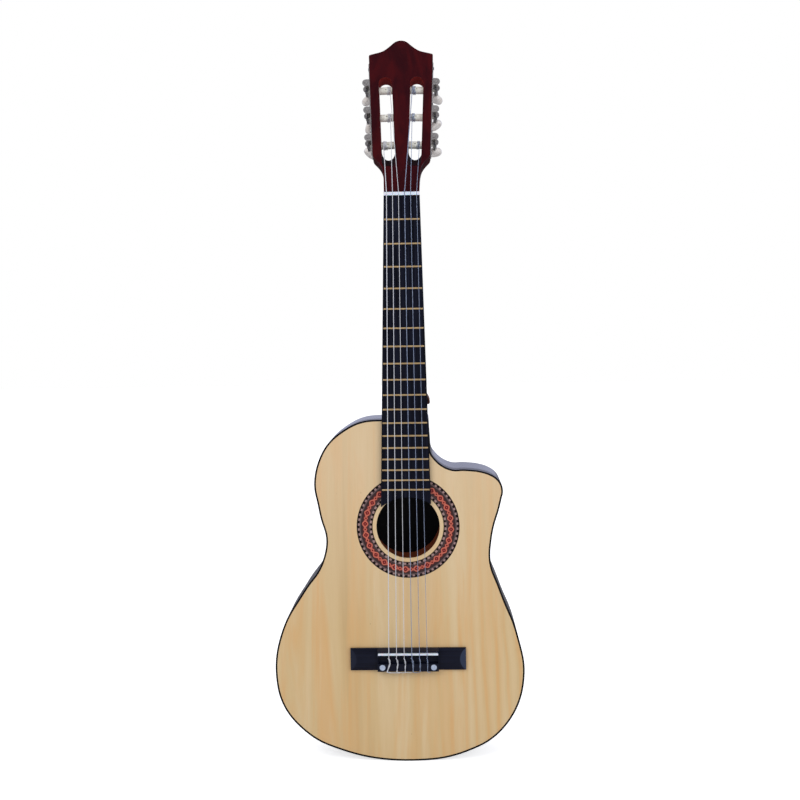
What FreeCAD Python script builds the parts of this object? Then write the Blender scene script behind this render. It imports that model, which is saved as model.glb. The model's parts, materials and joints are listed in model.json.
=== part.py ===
import FreeCAD
import Part
import os
from math import asin, atan, ceil, cos, degrees, pi, radians, sqrt, tan
import Sketcher

# A small nylon-string guitar with a cutaway and a slotted head.
# +Z runs up the neck, +X points to the treble side with the cutaway, and the front faces -Y.
# The origin is on the centre line, on the neck's face, at the scale's zero line, which the nut covers.

Vector = FreeCAD.Vector
Rotation = FreeCAD.Rotation
Placement = FreeCAD.Placement
X_AXIS = Vector(1, 0, 0)
Y_AXIS = Vector(0, 1, 0)
Z_AXIS = Vector(0, 0, 1)
QUARTER_TURN = 90

DRIVING_SIZES = {
    # Strings and neck
    "scale_length": 606,
    "nut_width": 47.5,
    "nut_thickness": 4.5,
    "nut_overlap": 2.6,
    "nut_height": 8.2,
    "first_fret_clearance": 0.35,
    "compensation": 4,
    "string_pitch_nut": 7.95,
    "string_pitch_saddle": 10.15,
    "neck_depth_nut": 21,
    "neck_depth_heel": 23,
    "neck_edge": 3,
    "joint_above_octave": 4.3,
    "heel_length": 76.7,
    "heel_depth_gap": 2.2,
    "heel_half_width": 15,
    "heel_cap_thickness": 2.2,
    # Fretboard
    "board_thickness": 6,
    "board_end_width": 66,
    "board_past_hole": 2.4,
    "board_end_land": 4,
    "board_end_radius": 56,
    "fret_width": 2.2,
    "fret_height": 1.1,
    "fret_tang_width": 0.6,
    "fret_tang_depth": 1.8,
    "fret_inset": 1.3,
    # Sound box
    "body_length": 458,
    "lower_bout": 333,
    "body_depth": 78,
    "rib_thickness": 2.4,
    "binding_height": 5.5,
    "soundboard_thickness": 2.6,
    "back_thickness": 2.8,
    "lining_width": 6.5,
    "lining_height": 13,
    "hole_below_top": 143.1,
    "hole_aside": 2.2,
    "hole_radius": 42.2,
    "rosette_depth": 1,
    "rosette_inner_radius": 47.3,
    "rosette_band_inner_radius": 51.9,
    "rosette_band_outer_radius": 62.5,
    "rosette_outer_radius": 68.6,
    "label_gap": 9,
    "label_aside": 1.9,
    "label_thickness": 0.3,
    "neck_block_height": 58,
    "neck_block_half_width": 34,
    "tail_block_height": 16,
    "tail_block_width": 70,
    # Braces
    "brace_width": 8,
    "brace_height": 14,
    "brace_off_hole": 12,
    "fan_width": 6,
    "fan_height": 5,
    "fan_gap": 6.1,
    "fan_pitch": 36,
    "plate_thickness": 2.4,
    "plate_length": 150,
    "plate_height": 40,
    # Bridge
    "bridge_width": 154,
    "bridge_block_width": 81.5,
    "bridge_front_land": 6.3,
    "bridge_height_along": 29.9,
    "bridge_wing_thickness": 5,
    "wing_edge_thickness": 3.4,
    "wing_shortfall": 0.5,
    "wing_bevel_length": 5.4,
    "bridge_front_bevel": 3,
    "bridge_thickness": 9.2,
    "saddle_thickness": 2.6,
    "saddle_length": 80,
    "saddle_rise": 4,
    "saddle_wall": 2,
    "trough_width": 10,
    "trough_floor": 3.4,
    "tie_hole_radius": 1,
    "tie_hole_depth": 4.6,
    "dot_radius": 3.8,
    "dot_thickness": 1,
    "dot_inset": 6.6,
    "dot_rise": 5.4,
    "bolt_radius": 2,
    "bolt_head_radius": 3.5,
    "bolt_head_height": 2,
    "bolt_nut_radius": 4,
    "bolt_nut_height": 3,
    # Strings
    "string_radius_one": 0.36,
    "string_radius_two": 0.41,
    "string_radius_three": 0.51,
    "string_radius_four": 0.38,
    "string_radius_five": 0.45,
    "string_radius_six": 0.55,
    "coil_gap": 0.55,
    "coil_clearance": 0.25,
    "tail_length": 7,
    "tie_gap": 0.45,
    "tie_tail_overhang": 2.4,
    "tie_tail_lean": 1.6,
    # Head
    "head_tilt": 16,
    "head_length": 220.8,
    "head_thickness": 22,
    "head_lower_half_width": 38.65,
    "head_lower_height": 53,
    "head_upper_half_width": 43.8,
    "head_upper_height": 197.5,
    "slot_width": 18,
    "slot_inset": 21,
    "slot_bottom": 57,
    "slot_top": 166,
    "ramp_bottom": 34,
    "ramp_spill": 4,
    # Tuning machines
    "roller_first": 69,
    "roller_pitch": 40.5,
    "roller_radius": 5,
    "roller_play": 0.3,
    "roller_tip_length": 6,
    "roller_tip_radius": 3.6,
    "roller_tenon_radius": 2,
    "roller_hole_radius": 0.9,
    "machine_plate_thickness": 1,
    "machine_plate_width": 20,
    "machine_plate_bottom": 54,
    "machine_plate_top": 187,
    "machine_clearance": 0.25,
    "ear_thickness": 1.2,
    "ear_width": 9.6,
    "ear_reach": 10.4,
    "worm_out": 5,
    "worm_rise": 9,
    "worm_core_radius": 2,
    "worm_crest_radius": 3.25,
    "worm_root_width": 1.15,
    "worm_crest_width": 0.7,
    "worm_turns": 4,
    "shaft_radius": 1.5,
    "shaft_head_radius": 2.1,
    "shaft_head_height": 0.7,
    "collar_radius": 2.9,
    "collar_length": 18,
    "stem_radius": 1.8,
    "gear_thickness": 2.4,
    "gear_tip_radius": 6.8,
    "gear_root_radius": 5.5,
    "gear_pitch_radius": 6.3,
    "gear_gap_width": 1.85,
    "gear_gap_root_width": 1.3,
    "gear_gap_tip_width": 2.3,
    "gear_screw_radius": 2.6,
    "gear_screw_height": 1.1,
    "screw_slot_width": 0.6,
    "screw_slot_depth": 0.5,
    "button_width": 20,
    "button_length": 19,
    "button_thickness": 8,
    "button_rounding": 3.4,
    "button_neck_radius": 3.3,
    "button_neck_length": 4,
    "plate_screw_radius": 1.2,
    "plate_screw_head_radius": 2.2,
    "plate_screw_head_height": 0.9,
    "plate_screw_length": 9,
    "plate_screw_inset": 3.6,
    # Strap button
    "strap_above_body": 23.1,
    "strap_depth": 27,
    "strap_seat": 19,
    "strap_length": 12.5,
    "strap_lean": 15,
    "strap_sweep": 20,
    "strap_foot_radius": 5.5,
    "strap_waist_radius": 3.6,
    "strap_flange_radius": 8.5,
    "strap_flange_thickness": 2.2,
    "strap_screw_radius": 1.6,
    "strap_screw_length": 20,
    # Overrun of every cut past the faces it opens
    "overrun": 1,
}
GEAR_TEETH = 14
STRINGS = 6
COIL_TURNS = 2.75
QUARTERS = 4
BACK_BRACE_SHARES = (0.19, 0.45, 0.74)
FAN_STEPS = (-2, -1, 0, 1, 2)
FAN_SPLAY_ANGLE = 4
# The outer strings go to the lowest rollers, the middle ones to the highest.
MACHINE_STEPS = {1: 0, 2: 1, 3: 2, 4: 2, 5: 1, 6: 0}
BUTTON_ANGLES = {1: 80, 2: 55, 3: -62, 4: 60, 5: 20, 6: -50}
FLATNESS_SHARE = 0.0005
SHOULDER_SHARE = 0.72
SHAFT_SHOULDER_SHARE = 0.66
HEEL_WAY_SHARES = (0, 0.42, 0.64, 0.8)
HEEL_DEPTH_SHARES = (0, 0.07, 0.4, 1)
THROAT_EDGE_SHARE = 0.82
THROAT_SHOULDER_SHARE = 0.84
THROAT_DEPTH_SHARE = 0.985
STEM_SHARE = 0.7
STRAP_FOOT_SHARE = 0.3
STRAP_WAIST_SHARE = 0.4
STRAP_RIM_SHARE = 0.25
STRAP_CROWN_SHARE = 0.8
THREAD_ROOT_SHARE = 0.9
FOLD_SHARE = 0.8
COIL_LANDING_SHARES = {1: 0.33, 2: -0.28, 3: -0.32, 4: -0.32, 5: -0.28, 6: 0.33}
# Which way a string winds along its roller: 1 outwards, -1 towards the middle of the head.
COIL_WAYS = {1: -1, 2: 1, 3: 1, 4: 1, 5: 1, 6: -1}
HEAD_POINT_SHARES = {
    "foot": (0.012, 0.30),
    "waist": (0.45, 0.76),
    "corner": (0.965, 0.905),
    "hollow": (0.46, 0.942),
}
HEAD_TANGENT_SHARES = {"waist": (0.78, 1), "corner": (-1, 0.3), "hollow": (-0.8, 0.62)}

# Body outline, front view: x as a share of the lower bout, way down from the heel as a share of
# the body's length. It runs from the bass end of the heel's seat round the tail to the cutaway.
OUTLINE_SHARES = (
    (-0.181, 0.0063),
    (-0.249, 0.0303),
    (-0.312, 0.0700),
    (-0.350, 0.1210),
    (-0.367, 0.1780),
    (-0.350, 0.2630),
    (-0.3230, 0.3650),
    (-0.3420, 0.4180),
    (-0.4200, 0.5030),
    (-0.4940, 0.5930),
    (-0.5345, 0.7336),
    (-0.5096, 0.8282),
    (-0.3994, 0.9236),
    (-0.2450, 0.9745),
    (-0.0190, 1.0000),
    (0.2100, 0.9790),
    (0.3450, 0.9290),
    (0.4378, 0.8378),
    (0.4652, 0.7439),
    (0.4370, 0.6240),
    (0.3760, 0.5060),
    (0.3340, 0.4100),
    (0.3420, 0.3400),
    (0.3793, 0.2391),
    (0.3872, 0.2098),
    (0.3803, 0.1893),
    (0.3630, 0.1731),
    (0.3368, 0.1612),
    (0.2970, 0.1520),
    (0.2450, 0.1474),
    (0.1780, 0.1452),
    (0.1290, 0.1240),
)
SEAT_BASS_SHARE = -0.105
SEAT_TREBLE_SHARE = 0.0925
CUTAWAY_START_SHARES = (0.0990, 0.0870)

doc = FreeCAD.newDocument("cutaway_guitar")
sheet = doc.addObject("Spreadsheet::Sheet", "sizes")


class Size:
    """A number together with the formula on the sheet that gives it."""

    def __init__(self, number, formula):
        self.number = number
        self.formula = formula

    def __float__(self):
        return float(self.number)

    def __add__(self, other):
        return combined(self, "+", other, float(self) + float(other))

    def __sub__(self, other):
        return combined(self, "-", other, float(self) - float(other))

    def __mul__(self, other):
        return combined(self, "*", other, float(self) * float(other))

    def __truediv__(self, other):
        return combined(self, "/", other, float(self) / float(other))

    def __radd__(self, other):
        return combined(other, "+", self, float(other) + float(self))

    def __rsub__(self, other):
        return combined(other, "-", self, float(other) - float(self))

    def __rmul__(self, other):
        return combined(other, "*", self, float(other) * float(self))

    def __neg__(self):
        return Size(-float(self), "(0 - " + self.formula + ")")


def formula_of(value):
    """The text that an expression needs for a size or a plain number."""
    if isinstance(value, Size):
        return value.formula
    return str(value)


def combined(left, sign, right, number):
    """The size that two others give with one arithmetic sign."""
    return Size(number, "(" + formula_of(left) + " " + sign + " " + formula_of(right) + ")")


def fill_sheet():
    """Write every driving size to the sheet under its own alias."""
    sizes = {}
    for row, (alias, number) in enumerate(DRIVING_SIZES.items(), start=1):
        cell = "A" + str(row)
        sheet.set(cell, str(number))
        sheet.setAlias(cell, alias)
        sizes[alias] = Size(number, "sizes." + alias)
    doc.recompute()
    return sizes


SIZES = fill_sheet()


def size(alias):
    """One driving size of the sheet."""
    return SIZES[alias]


def bind(thing, **values):
    """Bind properties to the sheet; a double underscore stands for a dot."""
    for name, value in values.items():
        path = name.replace("__", ".")
        thing.setExpression(path, formula_of(value))
    return thing


def moved(thing, x, y, z):
    """Place a thing at sizes of the sheet, keeping its turn."""
    return bind(thing, Placement__Base__x=x, Placement__Base__y=y, Placement__Base__z=z)


def point(x, y, z):
    """A vector from sizes."""
    return Vector(float(x), float(y), float(z))


def block(name, x, y, z):
    """A box between a low and a high value on each axis."""
    box = doc.addObject("Part::Box", name)
    bind(box, Length=x[1] - x[0], Width=y[1] - y[0], Height=z[1] - z[0])
    return moved(box, x[0], y[0], z[0])


def rod(name, radius, length, turn=None):
    """A cylinder along Z, or turned to another axis."""
    cylinder = doc.addObject("Part::Cylinder", name)
    bind(cylinder, Radius=radius, Height=length)
    if turn is not None:
        cylinder.Placement = Placement(Vector(), turn)
    return cylinder


ALONG_X = Rotation(Y_AXIS, QUARTER_TURN)
ALONG_Y = Rotation(X_AXIS, -QUARTER_TURN)


def cut(name, base, *tools):
    """What is left of a base when tools are taken away."""
    left = base
    for index, tool in enumerate(tools, start=1):
        result = doc.addObject("Part::Cut", name if index == len(tools) else name + "_cut")
        result.Base = left
        result.Tool = tool
        left = result
    return left


def fused(name, *things):
    """One solid from several that meet."""
    result = doc.addObject("Part::MultiFuse", name)
    result.Shapes = list(things)
    result.Refine = True
    return result


def shared(name, base, tool):
    """The space that two things share."""
    result = doc.addObject("Part::Common", name)
    result.Base = base
    result.Tool = tool
    return result


def group(name, things):
    """Separate solids that share one node."""
    result = doc.addObject("Part::Compound", name)
    result.Links = list(things)
    return result


def shape(name, made):
    """A shape that Part's own functions made."""
    feature = doc.addObject("Part::Feature", name)
    feature.Shape = made
    return feature


def extruded(name, profile, direction, length):
    """A flat profile drawn out to a solid."""
    result = doc.addObject("Part::Extrusion", name)
    result.Base = profile
    result.DirMode = "Custom"
    result.Dir = direction
    result.Solid = True
    return bind(result, LengthFwd=length)


def tangent_arc(start, tangent, end):
    """The arc, or line, that leaves start along the tangent and arrives at end."""
    chord = end - start
    along = Vector(chord).normalize()
    direction = Vector(tangent).normalize()
    across = direction - along * direction.dot(along)
    if across.Length < FLATNESS_SHARE:
        return Part.LineSegment(start, end).toShape()
    half_turn = asin(min(1.0, across.Length))
    rise = chord.Length / 2 * tan(half_turn / 2)
    middle = start + chord / 2 + across.normalize() * rise
    return Part.Arc(start, middle, end).toShape()


def two_arcs(start, tangent, end, end_tangent):
    """Two arcs that join two points smoothly."""
    first = Vector(tangent).normalize()
    last = Vector(end_tangent).normalize()
    chord = end - start
    spread = 2 * (first.dot(last) - 1)
    slope = -2 * chord.dot(first + last)
    reach = chord.dot(chord)
    if abs(spread) < FLATNESS_SHARE:
        handle = -reach / slope
    else:
        root = sqrt(max(0.0, slope * slope - 4 * spread * reach))
        handle = (-slope - root) / (2 * spread)
    middle = (start + first * handle + end - last * handle) / 2
    leave = tangent_arc(start, first, middle)
    arrive = tangent_arc(end, -last, middle)
    return [leave, arrive]


def tangent_at(before, here, after):
    """Direction of the circle through three points at the middle one."""
    ahead = after - here
    behind = here - before
    return (behind / behind.dot(behind) + ahead / ahead.dot(ahead)).normalize()


def line(start, end):
    """A straight edge."""
    return Part.LineSegment(start, end).toShape()


def wire_of(edges):
    """A wire from edges in any order."""
    return Part.Wire(Part.__sortEdges__(edges))


def outline_point(shares, depth=0):
    """A point of the body's outline in the plane at a depth."""
    x = size("lower_bout") * shares[0]
    z = -(BODY_TOP + size("body_length") * shares[1])
    return point(x, depth, z)


def body_wire(inset=0):
    """The body's outline, drawn in by an inset."""
    seat_treble = outline_point((SEAT_TREBLE_SHARE, 0))
    cutaway = outline_point(CUTAWAY_START_SHARES)
    side = (seat_treble - cutaway).normalize()
    points = [outline_point((SEAT_BASS_SHARE, 0))]
    points += [outline_point(shares) for shares in OUTLINE_SHARES] + [cutaway]
    tangents = [Vector(-1, 0, 0)]
    tangents += [tangent_at(*points[index - 1:index + 2]) for index in range(1, len(points) - 1)]
    tangents.append(side)
    drawn_in = [place + Vector(-way.z, 0, way.x) * float(inset) for place, way in zip(points, tangents)]
    edges = []
    for index in range(1, len(drawn_in)):
        edges += two_arcs(drawn_in[index - 1], tangents[index - 1], drawn_in[index], tangents[index])
    rise = drawn_in[0].z - drawn_in[-1].z
    corner = drawn_in[-1] + side * (rise / side.z)
    edges += [line(drawn_in[-1], corner), line(corner, drawn_in[0])]
    return wire_of(edges)


def body_slab(name, inset, front, back):
    """The body's plan, drawn in by an inset, as a slab between two depths."""
    face = shape(name + "_face", Part.Face(body_wire(inset)))
    slab = extruded(name, face, Y_AXIS, back - front)
    return moved(slab, 0, front, 0)


def body_ring(name, outer_inset, inner_inset, front, back):
    """A strip of even width that follows the body's outline."""
    outer = body_slab(name + "_outer", outer_inset, front, back)
    inner = body_slab(name + "_inner", inner_inset, front - size("overrun"), back + size("overrun"))
    return cut(name, outer, inner)


def sketch_on(body, role, name):
    """A sketch on one of its own body's origin planes."""
    sketch = body.newObject("Sketcher::SketchObject", name)
    plane = next(item for item in body.Origin.OriginFeatures if item.Role == role)
    sketch.AttachmentSupport = (plane, "")
    sketch.MapMode = "FlatFace"
    return sketch


def draw_polygon(sketch, corners):
    """A closed polygon whose corners are bound to the sheet."""
    places = [Vector(float(across), float(along), 0) for across, along in corners]
    for index, place in enumerate(places):
        sketch.addGeometry(Part.LineSegment(place, places[(index + 1) % len(places)]), False)
    for index in range(len(places)):
        following = (index + 1) % len(places)
        sketch.addConstraint(Sketcher.Constraint("Coincident", index, 2, following, 1))
    for index, corner in enumerate(corners):
        for kind, value in zip(("DistanceX", "DistanceY"), corner):
            mark = sketch.addConstraint(Sketcher.Constraint(kind, -1, 1, index, 1, float(value)))
            sketch.setExpression("Constraints[" + str(mark) + "]", formula_of(value))
    return sketch


def turned_body(name, corners):
    """A body turned about its own Z axis from a profile of (radius, height) corners."""
    body = doc.addObject("PartDesign::Body", name)
    profile = draw_polygon(sketch_on(body, "XZ_Plane", name + "_profile"), corners)
    turning = body.newObject("PartDesign::Revolution", name + "_turning")
    turning.Profile = profile
    turning.ReferenceAxis = (profile, ["V_Axis"])
    turning.Angle = 360
    return body


# Places along the neck and the body, and heights of the bridge's parts, from the driving sizes
BODY_TOP = size("scale_length") / 2 - size("joint_above_octave")
BODY_BOTTOM = BODY_TOP + size("body_length")
HEEL_START = BODY_TOP - size("heel_length")
STRAP_BELOW_NUT = BODY_TOP - size("strap_above_body")
HOLE_BELOW_NUT = BODY_TOP + size("hole_below_top")
BOARD_LENGTH = HOLE_BELOW_NUT - size("hole_radius") + size("board_past_hole")
STRING_REST = size("board_thickness") + size("fret_height") + size("first_fret_clearance")
SADDLE_BELOW_NUT = size("scale_length") + size("compensation")
SADDLE_TOP = size("bridge_thickness") + size("saddle_rise")
BRIDGE_TOP = SADDLE_BELOW_NUT - size("bridge_front_land")
BRIDGE_BOTTOM = BRIDGE_TOP + size("bridge_height_along")
SLOT_BACK = SADDLE_BELOW_NUT + size("saddle_thickness") / 2
TROUGH_START = SLOT_BACK + size("saddle_wall")
TROUGH_END = TROUGH_START + size("trough_width")
STRING_RADII = [size("string_radius_" + word) for word in ("one", "two", "three", "four", "five", "six")]


def board_half_width(below_nut):
    """Half the fretboard's width at a distance below the nut."""
    widening = (size("board_end_width") - size("nut_width")) / 2
    return size("nut_width") / 2 + widening * (below_nut / BOARD_LENGTH)


def fret_below_nut(number):
    """How far a fret lies below the nut."""
    return size("scale_length") * (1 - 2 ** (-number / 12))


def fret_numbers():
    """The frets that the board has room for."""
    last = 1
    while float(fret_below_nut(last + 1) + size("board_end_land")) < float(BOARD_LENGTH):
        last += 1
    return range(1, last + 1)


def build_fretboard():
    """The tapered board, its end hollowed round the sound hole, with a slot for each fret."""
    reach = BOARD_LENGTH + size("hole_radius")
    start = size("nut_overlap")
    half_start = board_half_width(start)
    top = [point(-half_start, 0, -start), point(half_start, 0, -start)]
    half_end = board_half_width(reach)
    bottom = [point(half_end, 0, -reach), point(-half_end, 0, -reach)]
    face = shape("fretboard_face", Part.Face(Part.makePolygon(top + bottom + top[:1])))
    plank = moved(extruded("fretboard_plank", face, Y_AXIS, size("board_thickness")),
                  0, -size("board_thickness"), 0)
    hollow = rod("fretboard_end_cut", size("board_end_radius"), size("board_thickness") * 3, ALONG_Y)
    moved(hollow, size("hole_aside"), -size("board_thickness") * 2,
          -(BOARD_LENGTH + size("board_end_radius")))
    below = block("fretboard_below_cut", (-half_end * 2, half_end * 2),
                  (-size("board_thickness") * 2, size("board_thickness")),
                  (-reach * 2, -(BOARD_LENGTH + size("board_end_radius") / 4)))
    slots = []
    for number in fret_numbers():
        below_nut = fret_below_nut(number)
        half = board_half_width(below_nut)
        slots.append(block("fret_slot_" + str(number), (-half * 2, half * 2),
                           (-size("board_thickness") - size("overrun"),
                            size("fret_tang_depth") - size("board_thickness")),
                           (-below_nut - size("fret_tang_width") / 2,
                            size("fret_tang_width") / 2 - below_nut)))
    slot_group = group("fret_slots", slots)
    return cut("fretboard", plank, hollow, below, slot_group)


def build_frets():
    """One crowned wire with a tang for each fret."""
    frets = []
    half_crown = size("fret_width") / 2
    front = size("board_thickness")
    for number in fret_numbers():
        below_nut = fret_below_nut(number)
        half = board_half_width(below_nut) - size("fret_inset")
        left = point(0, -front, -below_nut - half_crown)
        right = point(0, -front, half_crown - below_nut)
        peak = point(0, -front - size("fret_height"), -below_nut)
        crown_face = Part.Face(Part.Wire([Part.Arc(left, peak, right).toShape(), line(right, left)]))
        profile = shape("fret_profile_" + str(number), crown_face)
        crown = extruded("fret_crown_" + str(number), profile, X_AXIS, half * 2)
        moved(crown, -half, 0, 0)
        tang = block("fret_tang_" + str(number), (-half, half),
                     (-front, size("fret_tang_depth") - front),
                     (-below_nut - size("fret_tang_width") / 2,
                      size("fret_tang_width") / 2 - below_nut))
        frets.append(fused("fret_" + str(number), crown, tang))
    return group("frets", frets)


def string_x(number, pitch):
    """How far a string lies to the treble side; string 1 is the thinnest."""
    return pitch * ((STRINGS + 1) / 2 - number)


def build_nut():
    """The nut, with a notch for each string."""
    half = size("nut_width") / 2
    front = -size("nut_overlap")
    bar = block("nut_bar", (-half, half), (-size("nut_height"), 0), (front, size("nut_thickness") + front))
    notches = []
    for number in range(1, STRINGS + 1):
        radius = STRING_RADII[number - 1]
        x = string_x(number, size("string_pitch_nut"))
        notch = block("nut_notch_" + str(number), (x - radius, x + radius),
                      (-size("nut_height") - size("overrun"), -STRING_REST),
                      (front - size("overrun"), size("nut_thickness") + size("overrun")))
        notches.append(notch)
    return cut("nut", bar, group("nut_notches", notches))


def neck_section(below_nut, depth, shoulder):
    """A flat-faced, round-backed section of the neck at a distance below the nut."""
    half = board_half_width(below_nut)
    edge = size("neck_edge")
    shoulder_depth = edge + (depth - edge) * SHOULDER_SHARE
    z = -below_nut
    front_left = point(-half, 0, z)
    front_right = point(half, 0, z)
    side_right = point(half, edge, z)
    side_left = point(-half, edge, z)
    low_right = point(shoulder, shoulder_depth, z)
    low_left = point(-shoulder, shoulder_depth, z)
    bottom = point(0, depth, z)
    side_arc = tangent_arc(side_right, Vector(0, 1, 0), low_right)
    other_arc = tangent_arc(side_left, Vector(0, 1, 0), low_left)
    edges = [line(front_left, front_right), line(front_right, side_right), side_arc,
             Part.Arc(low_right, bottom, low_left).toShape(), other_arc, line(side_left, front_left)]
    return wire_of(edges)


def build_neck_shaft():
    """The neck's shaft from the nut to where the heel starts."""
    start = -size("nut_thickness")
    low = HEEL_START
    top_half = board_half_width(start) * SHAFT_SHOULDER_SHARE
    low_half = board_half_width(low) * SHAFT_SHOULDER_SHARE
    sections = [neck_section(start, size("neck_depth_nut"), top_half),
                neck_section(low, size("neck_depth_heel"), low_half)]
    return shape("neck_shaft", Part.makeLoft(sections, True, True))


def build_throat():
    """The carved change from the round neck to the square back of the head."""
    start = -size("nut_thickness")
    depth = size("neck_depth_nut")
    round_end = neck_section(start, depth, board_half_width(start) * SHAFT_SHOULDER_SHARE)
    half, rise = head_foot()
    edge = size("head_thickness") * THROAT_EDGE_SHARE
    deep = size("head_thickness")
    shoulder = half * THROAT_SHOULDER_SHARE
    corners = [point(-half, 0, rise), point(half, 0, rise), point(half, edge, rise),
               point(shoulder, deep * THROAT_DEPTH_SHARE, rise),
               point(-shoulder, deep * THROAT_DEPTH_SHARE, rise), point(-half, edge, rise)]
    edges = [line(corners[0], corners[1]), line(corners[1], corners[2]),
             tangent_arc(corners[2], Y_AXIS, corners[3]),
             Part.Arc(corners[3], point(0, deep, rise), corners[4]).toShape(),
             tangent_arc(corners[5], Y_AXIS, corners[4]), line(corners[5], corners[0])]
    square_end = wire_of(edges)
    square_end.Placement = head_place()
    return shape("throat", Part.makeLoft([round_end, square_end], True, True))


def build_heel():
    """The heel, swept back from the neck to the full depth of the ribs."""
    start = HEEL_START
    reach = BODY_TOP - start
    deep = size("body_depth") - size("heel_cap_thickness") - size("heel_depth_gap")
    rise = deep - size("neck_depth_heel")
    sections = []
    for way, deepening in zip(HEEL_WAY_SHARES, HEEL_DEPTH_SHARES):
        below_nut = start + reach * way
        depth = size("neck_depth_heel") + rise * deepening
        thin = board_half_width(below_nut) * SHAFT_SHOULDER_SHARE
        half = thin + (size("heel_half_width") - thin) * deepening
        sections.append(neck_section(below_nut, depth, half))
    seat = neck_section(BODY_TOP, deep, size("heel_half_width"))
    sweep = Part.makeLoft(sections, True, False)
    foot = Part.makeLoft([sections[-1], seat], True, True)
    return fused("heel", shape("heel_sweep", sweep), shape("heel_foot", foot))


def build_heel_cap():
    """A thin dark cap on the heel's end."""
    deep = size("body_depth") - size("heel_cap_thickness") - size("heel_depth_gap")
    half = size("heel_half_width")
    length = (BODY_TOP - HEEL_START) * (1 - HEEL_WAY_SHARES[-1])
    top = BODY_TOP
    left = point(-half, deep, -top)
    right = point(half, deep, -top)
    nose = point(0, deep, -top + length)
    outline = Part.Wire([Part.Arc(left, nose, right).toShape(), line(right, left)])
    face = shape("heel_cap_face", Part.Face(outline))
    return extruded("heel_cap", face, Y_AXIS, size("heel_cap_thickness"))


def head_place():
    """Where the head's own frame lies: Z up its face, Y into it."""
    return Placement(point(0, 0, size("nut_thickness")), Rotation(X_AXIS, -float(size("head_tilt"))))


def side_half_width(height):
    """Half the head's width at a height, on its straight tapering sides."""
    widening = size("head_upper_half_width") - size("head_lower_half_width")
    rise = size("head_upper_height") - size("head_lower_height")
    return size("head_lower_half_width") + widening * ((height - size("head_lower_height")) / rise)


def head_foot():
    """Half width and height of the head's foot, where the neck's throat meets it."""
    gain = size("head_lower_half_width") - size("nut_width") / 2
    across, up = HEAD_POINT_SHARES["foot"]
    return size("nut_width") / 2 + gain * across, size("head_lower_height") * up


def head_outline():
    """The head's outline in its own frame: shoulders, tapering sides, hollowed crest."""
    foot_half = size("nut_width") / 2
    low = size("head_lower_height")
    high = size("head_upper_height")
    wide = size("head_upper_half_width")
    tall = size("head_length")
    gain = size("head_lower_half_width") - foot_half
    shares = HEAD_POINT_SHARES
    foot = head_foot()
    waist = (foot_half + gain * shares["waist"][0], low * shares["waist"][1])
    corner = (wide * shares["corner"][0], tall * shares["corner"][1])
    hollow = (wide * shares["hollow"][0], tall * shares["hollow"][1])
    edges = []
    for side in (-1, 1):
        places = [point(x * side, 0, z) for x, z in
                  (foot, waist, (size("head_lower_half_width"), low), (wide, high), corner, hollow,
                   (0, tall))]
        tangents = {key: Vector(value[0] * side, 0, value[1])
                    for key, value in HEAD_TANGENT_SHARES.items()}
        rising = places[3] - places[2]
        edges += two_arcs(places[0], Z_AXIS, places[1], tangents["waist"])
        edges += two_arcs(places[1], tangents["waist"], places[2], rising)
        edges.append(line(places[2], places[3]))
        edges += two_arcs(places[3], rising, places[4], tangents["corner"])
        edges += two_arcs(places[4], tangents["corner"], places[5], tangents["hollow"])
        edges += two_arcs(places[5], tangents["hollow"], places[6], Vector(-side, 0, 0))
    edges.append(line(point(-foot[0], 0, foot[1]), point(foot[0], 0, foot[1])))
    return wire_of(edges)


def slot_place(side):
    """The frame of one slot: its origin on the head's foot line, Z up the slot."""
    start = side_half_width(size("slot_bottom")) - size("slot_inset")
    return Placement(point(start * side, 0, size("slot_bottom")), Rotation(Y_AXIS, taper_angle() * side))


def build_slot_cut(side):
    """One slot of the head with its round ends and the ramp that the strings come in by."""
    tag = "bass" if side < 0 else "treble"
    half = size("slot_width") / 2
    length = size("slot_top") - size("slot_bottom")
    deep = size("head_thickness") + size("overrun")
    slot_box = block("slot_box_" + tag, (-half, half), (-size("overrun"), deep),
                     (half, length - half))
    ends = []
    for tip, height in (("low", half), ("high", length - half)):
        end = rod("slot_end_" + tip + "_" + tag, half, deep + size("overrun"), ALONG_Y)
        moved(end, 0, -size("overrun"), height)
        ends.append(end)
    fall = size("slot_bottom") - size("ramp_bottom")
    mouth = point(0, 0, half - fall)
    foot = point(0, size("head_thickness"), half)
    slant = foot - mouth
    entry = mouth - slant * float(size("ramp_spill") / size("head_thickness"))
    round_ramp = rod("ramp_round_" + tag, half, size("head_thickness"))
    bind(round_ramp, Height=(foot - entry).Length)
    round_ramp.Placement = Placement(entry, Rotation(Z_AXIS, slant))
    aside = point(half, 0, 0)
    above = Vector(0, entry.y, foot.z)
    profile = Part.makePolygon([entry - aside, foot - aside, above - aside, entry - aside])
    ramp = extruded("slot_ramp_" + tag, shape("slot_ramp_face_" + tag, Part.Face(profile)),
                    X_AXIS, size("slot_width"))
    whole = fused("slot_cut_" + tag, slot_box, round_ramp, ramp, *ends)
    whole.Placement = slot_place(side)
    return whole


def machine_place(number):
    """The frame of one tuning machine: origin where the roller's axis leaves the head's side."""
    side = 1 if number <= STRINGS // 2 else -1
    step = MACHINE_STEPS[number]
    height = size("roller_first") + size("roller_pitch") * step
    base = point(side_half_width(height) * side, size("head_thickness") / 2, height)
    lean = Rotation(Y_AXIS, taper_angle() * side)
    facing = Rotation(Z_AXIS, 0 if side > 0 else 180)
    return head_place().multiply(Placement(base, lean.multiply(facing)))


def back_sign(number):
    """Which way the machine's own Y axis points: 1 to the back, -1 to the front."""
    return 1 if number <= STRINGS // 2 else -1


def placed(thing, number, base, turn):
    """Put a piece of a tuning machine where it belongs in that machine's frame."""
    thing.Placement = machine_place(number).multiply(Placement(base, turn))
    return thing


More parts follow.
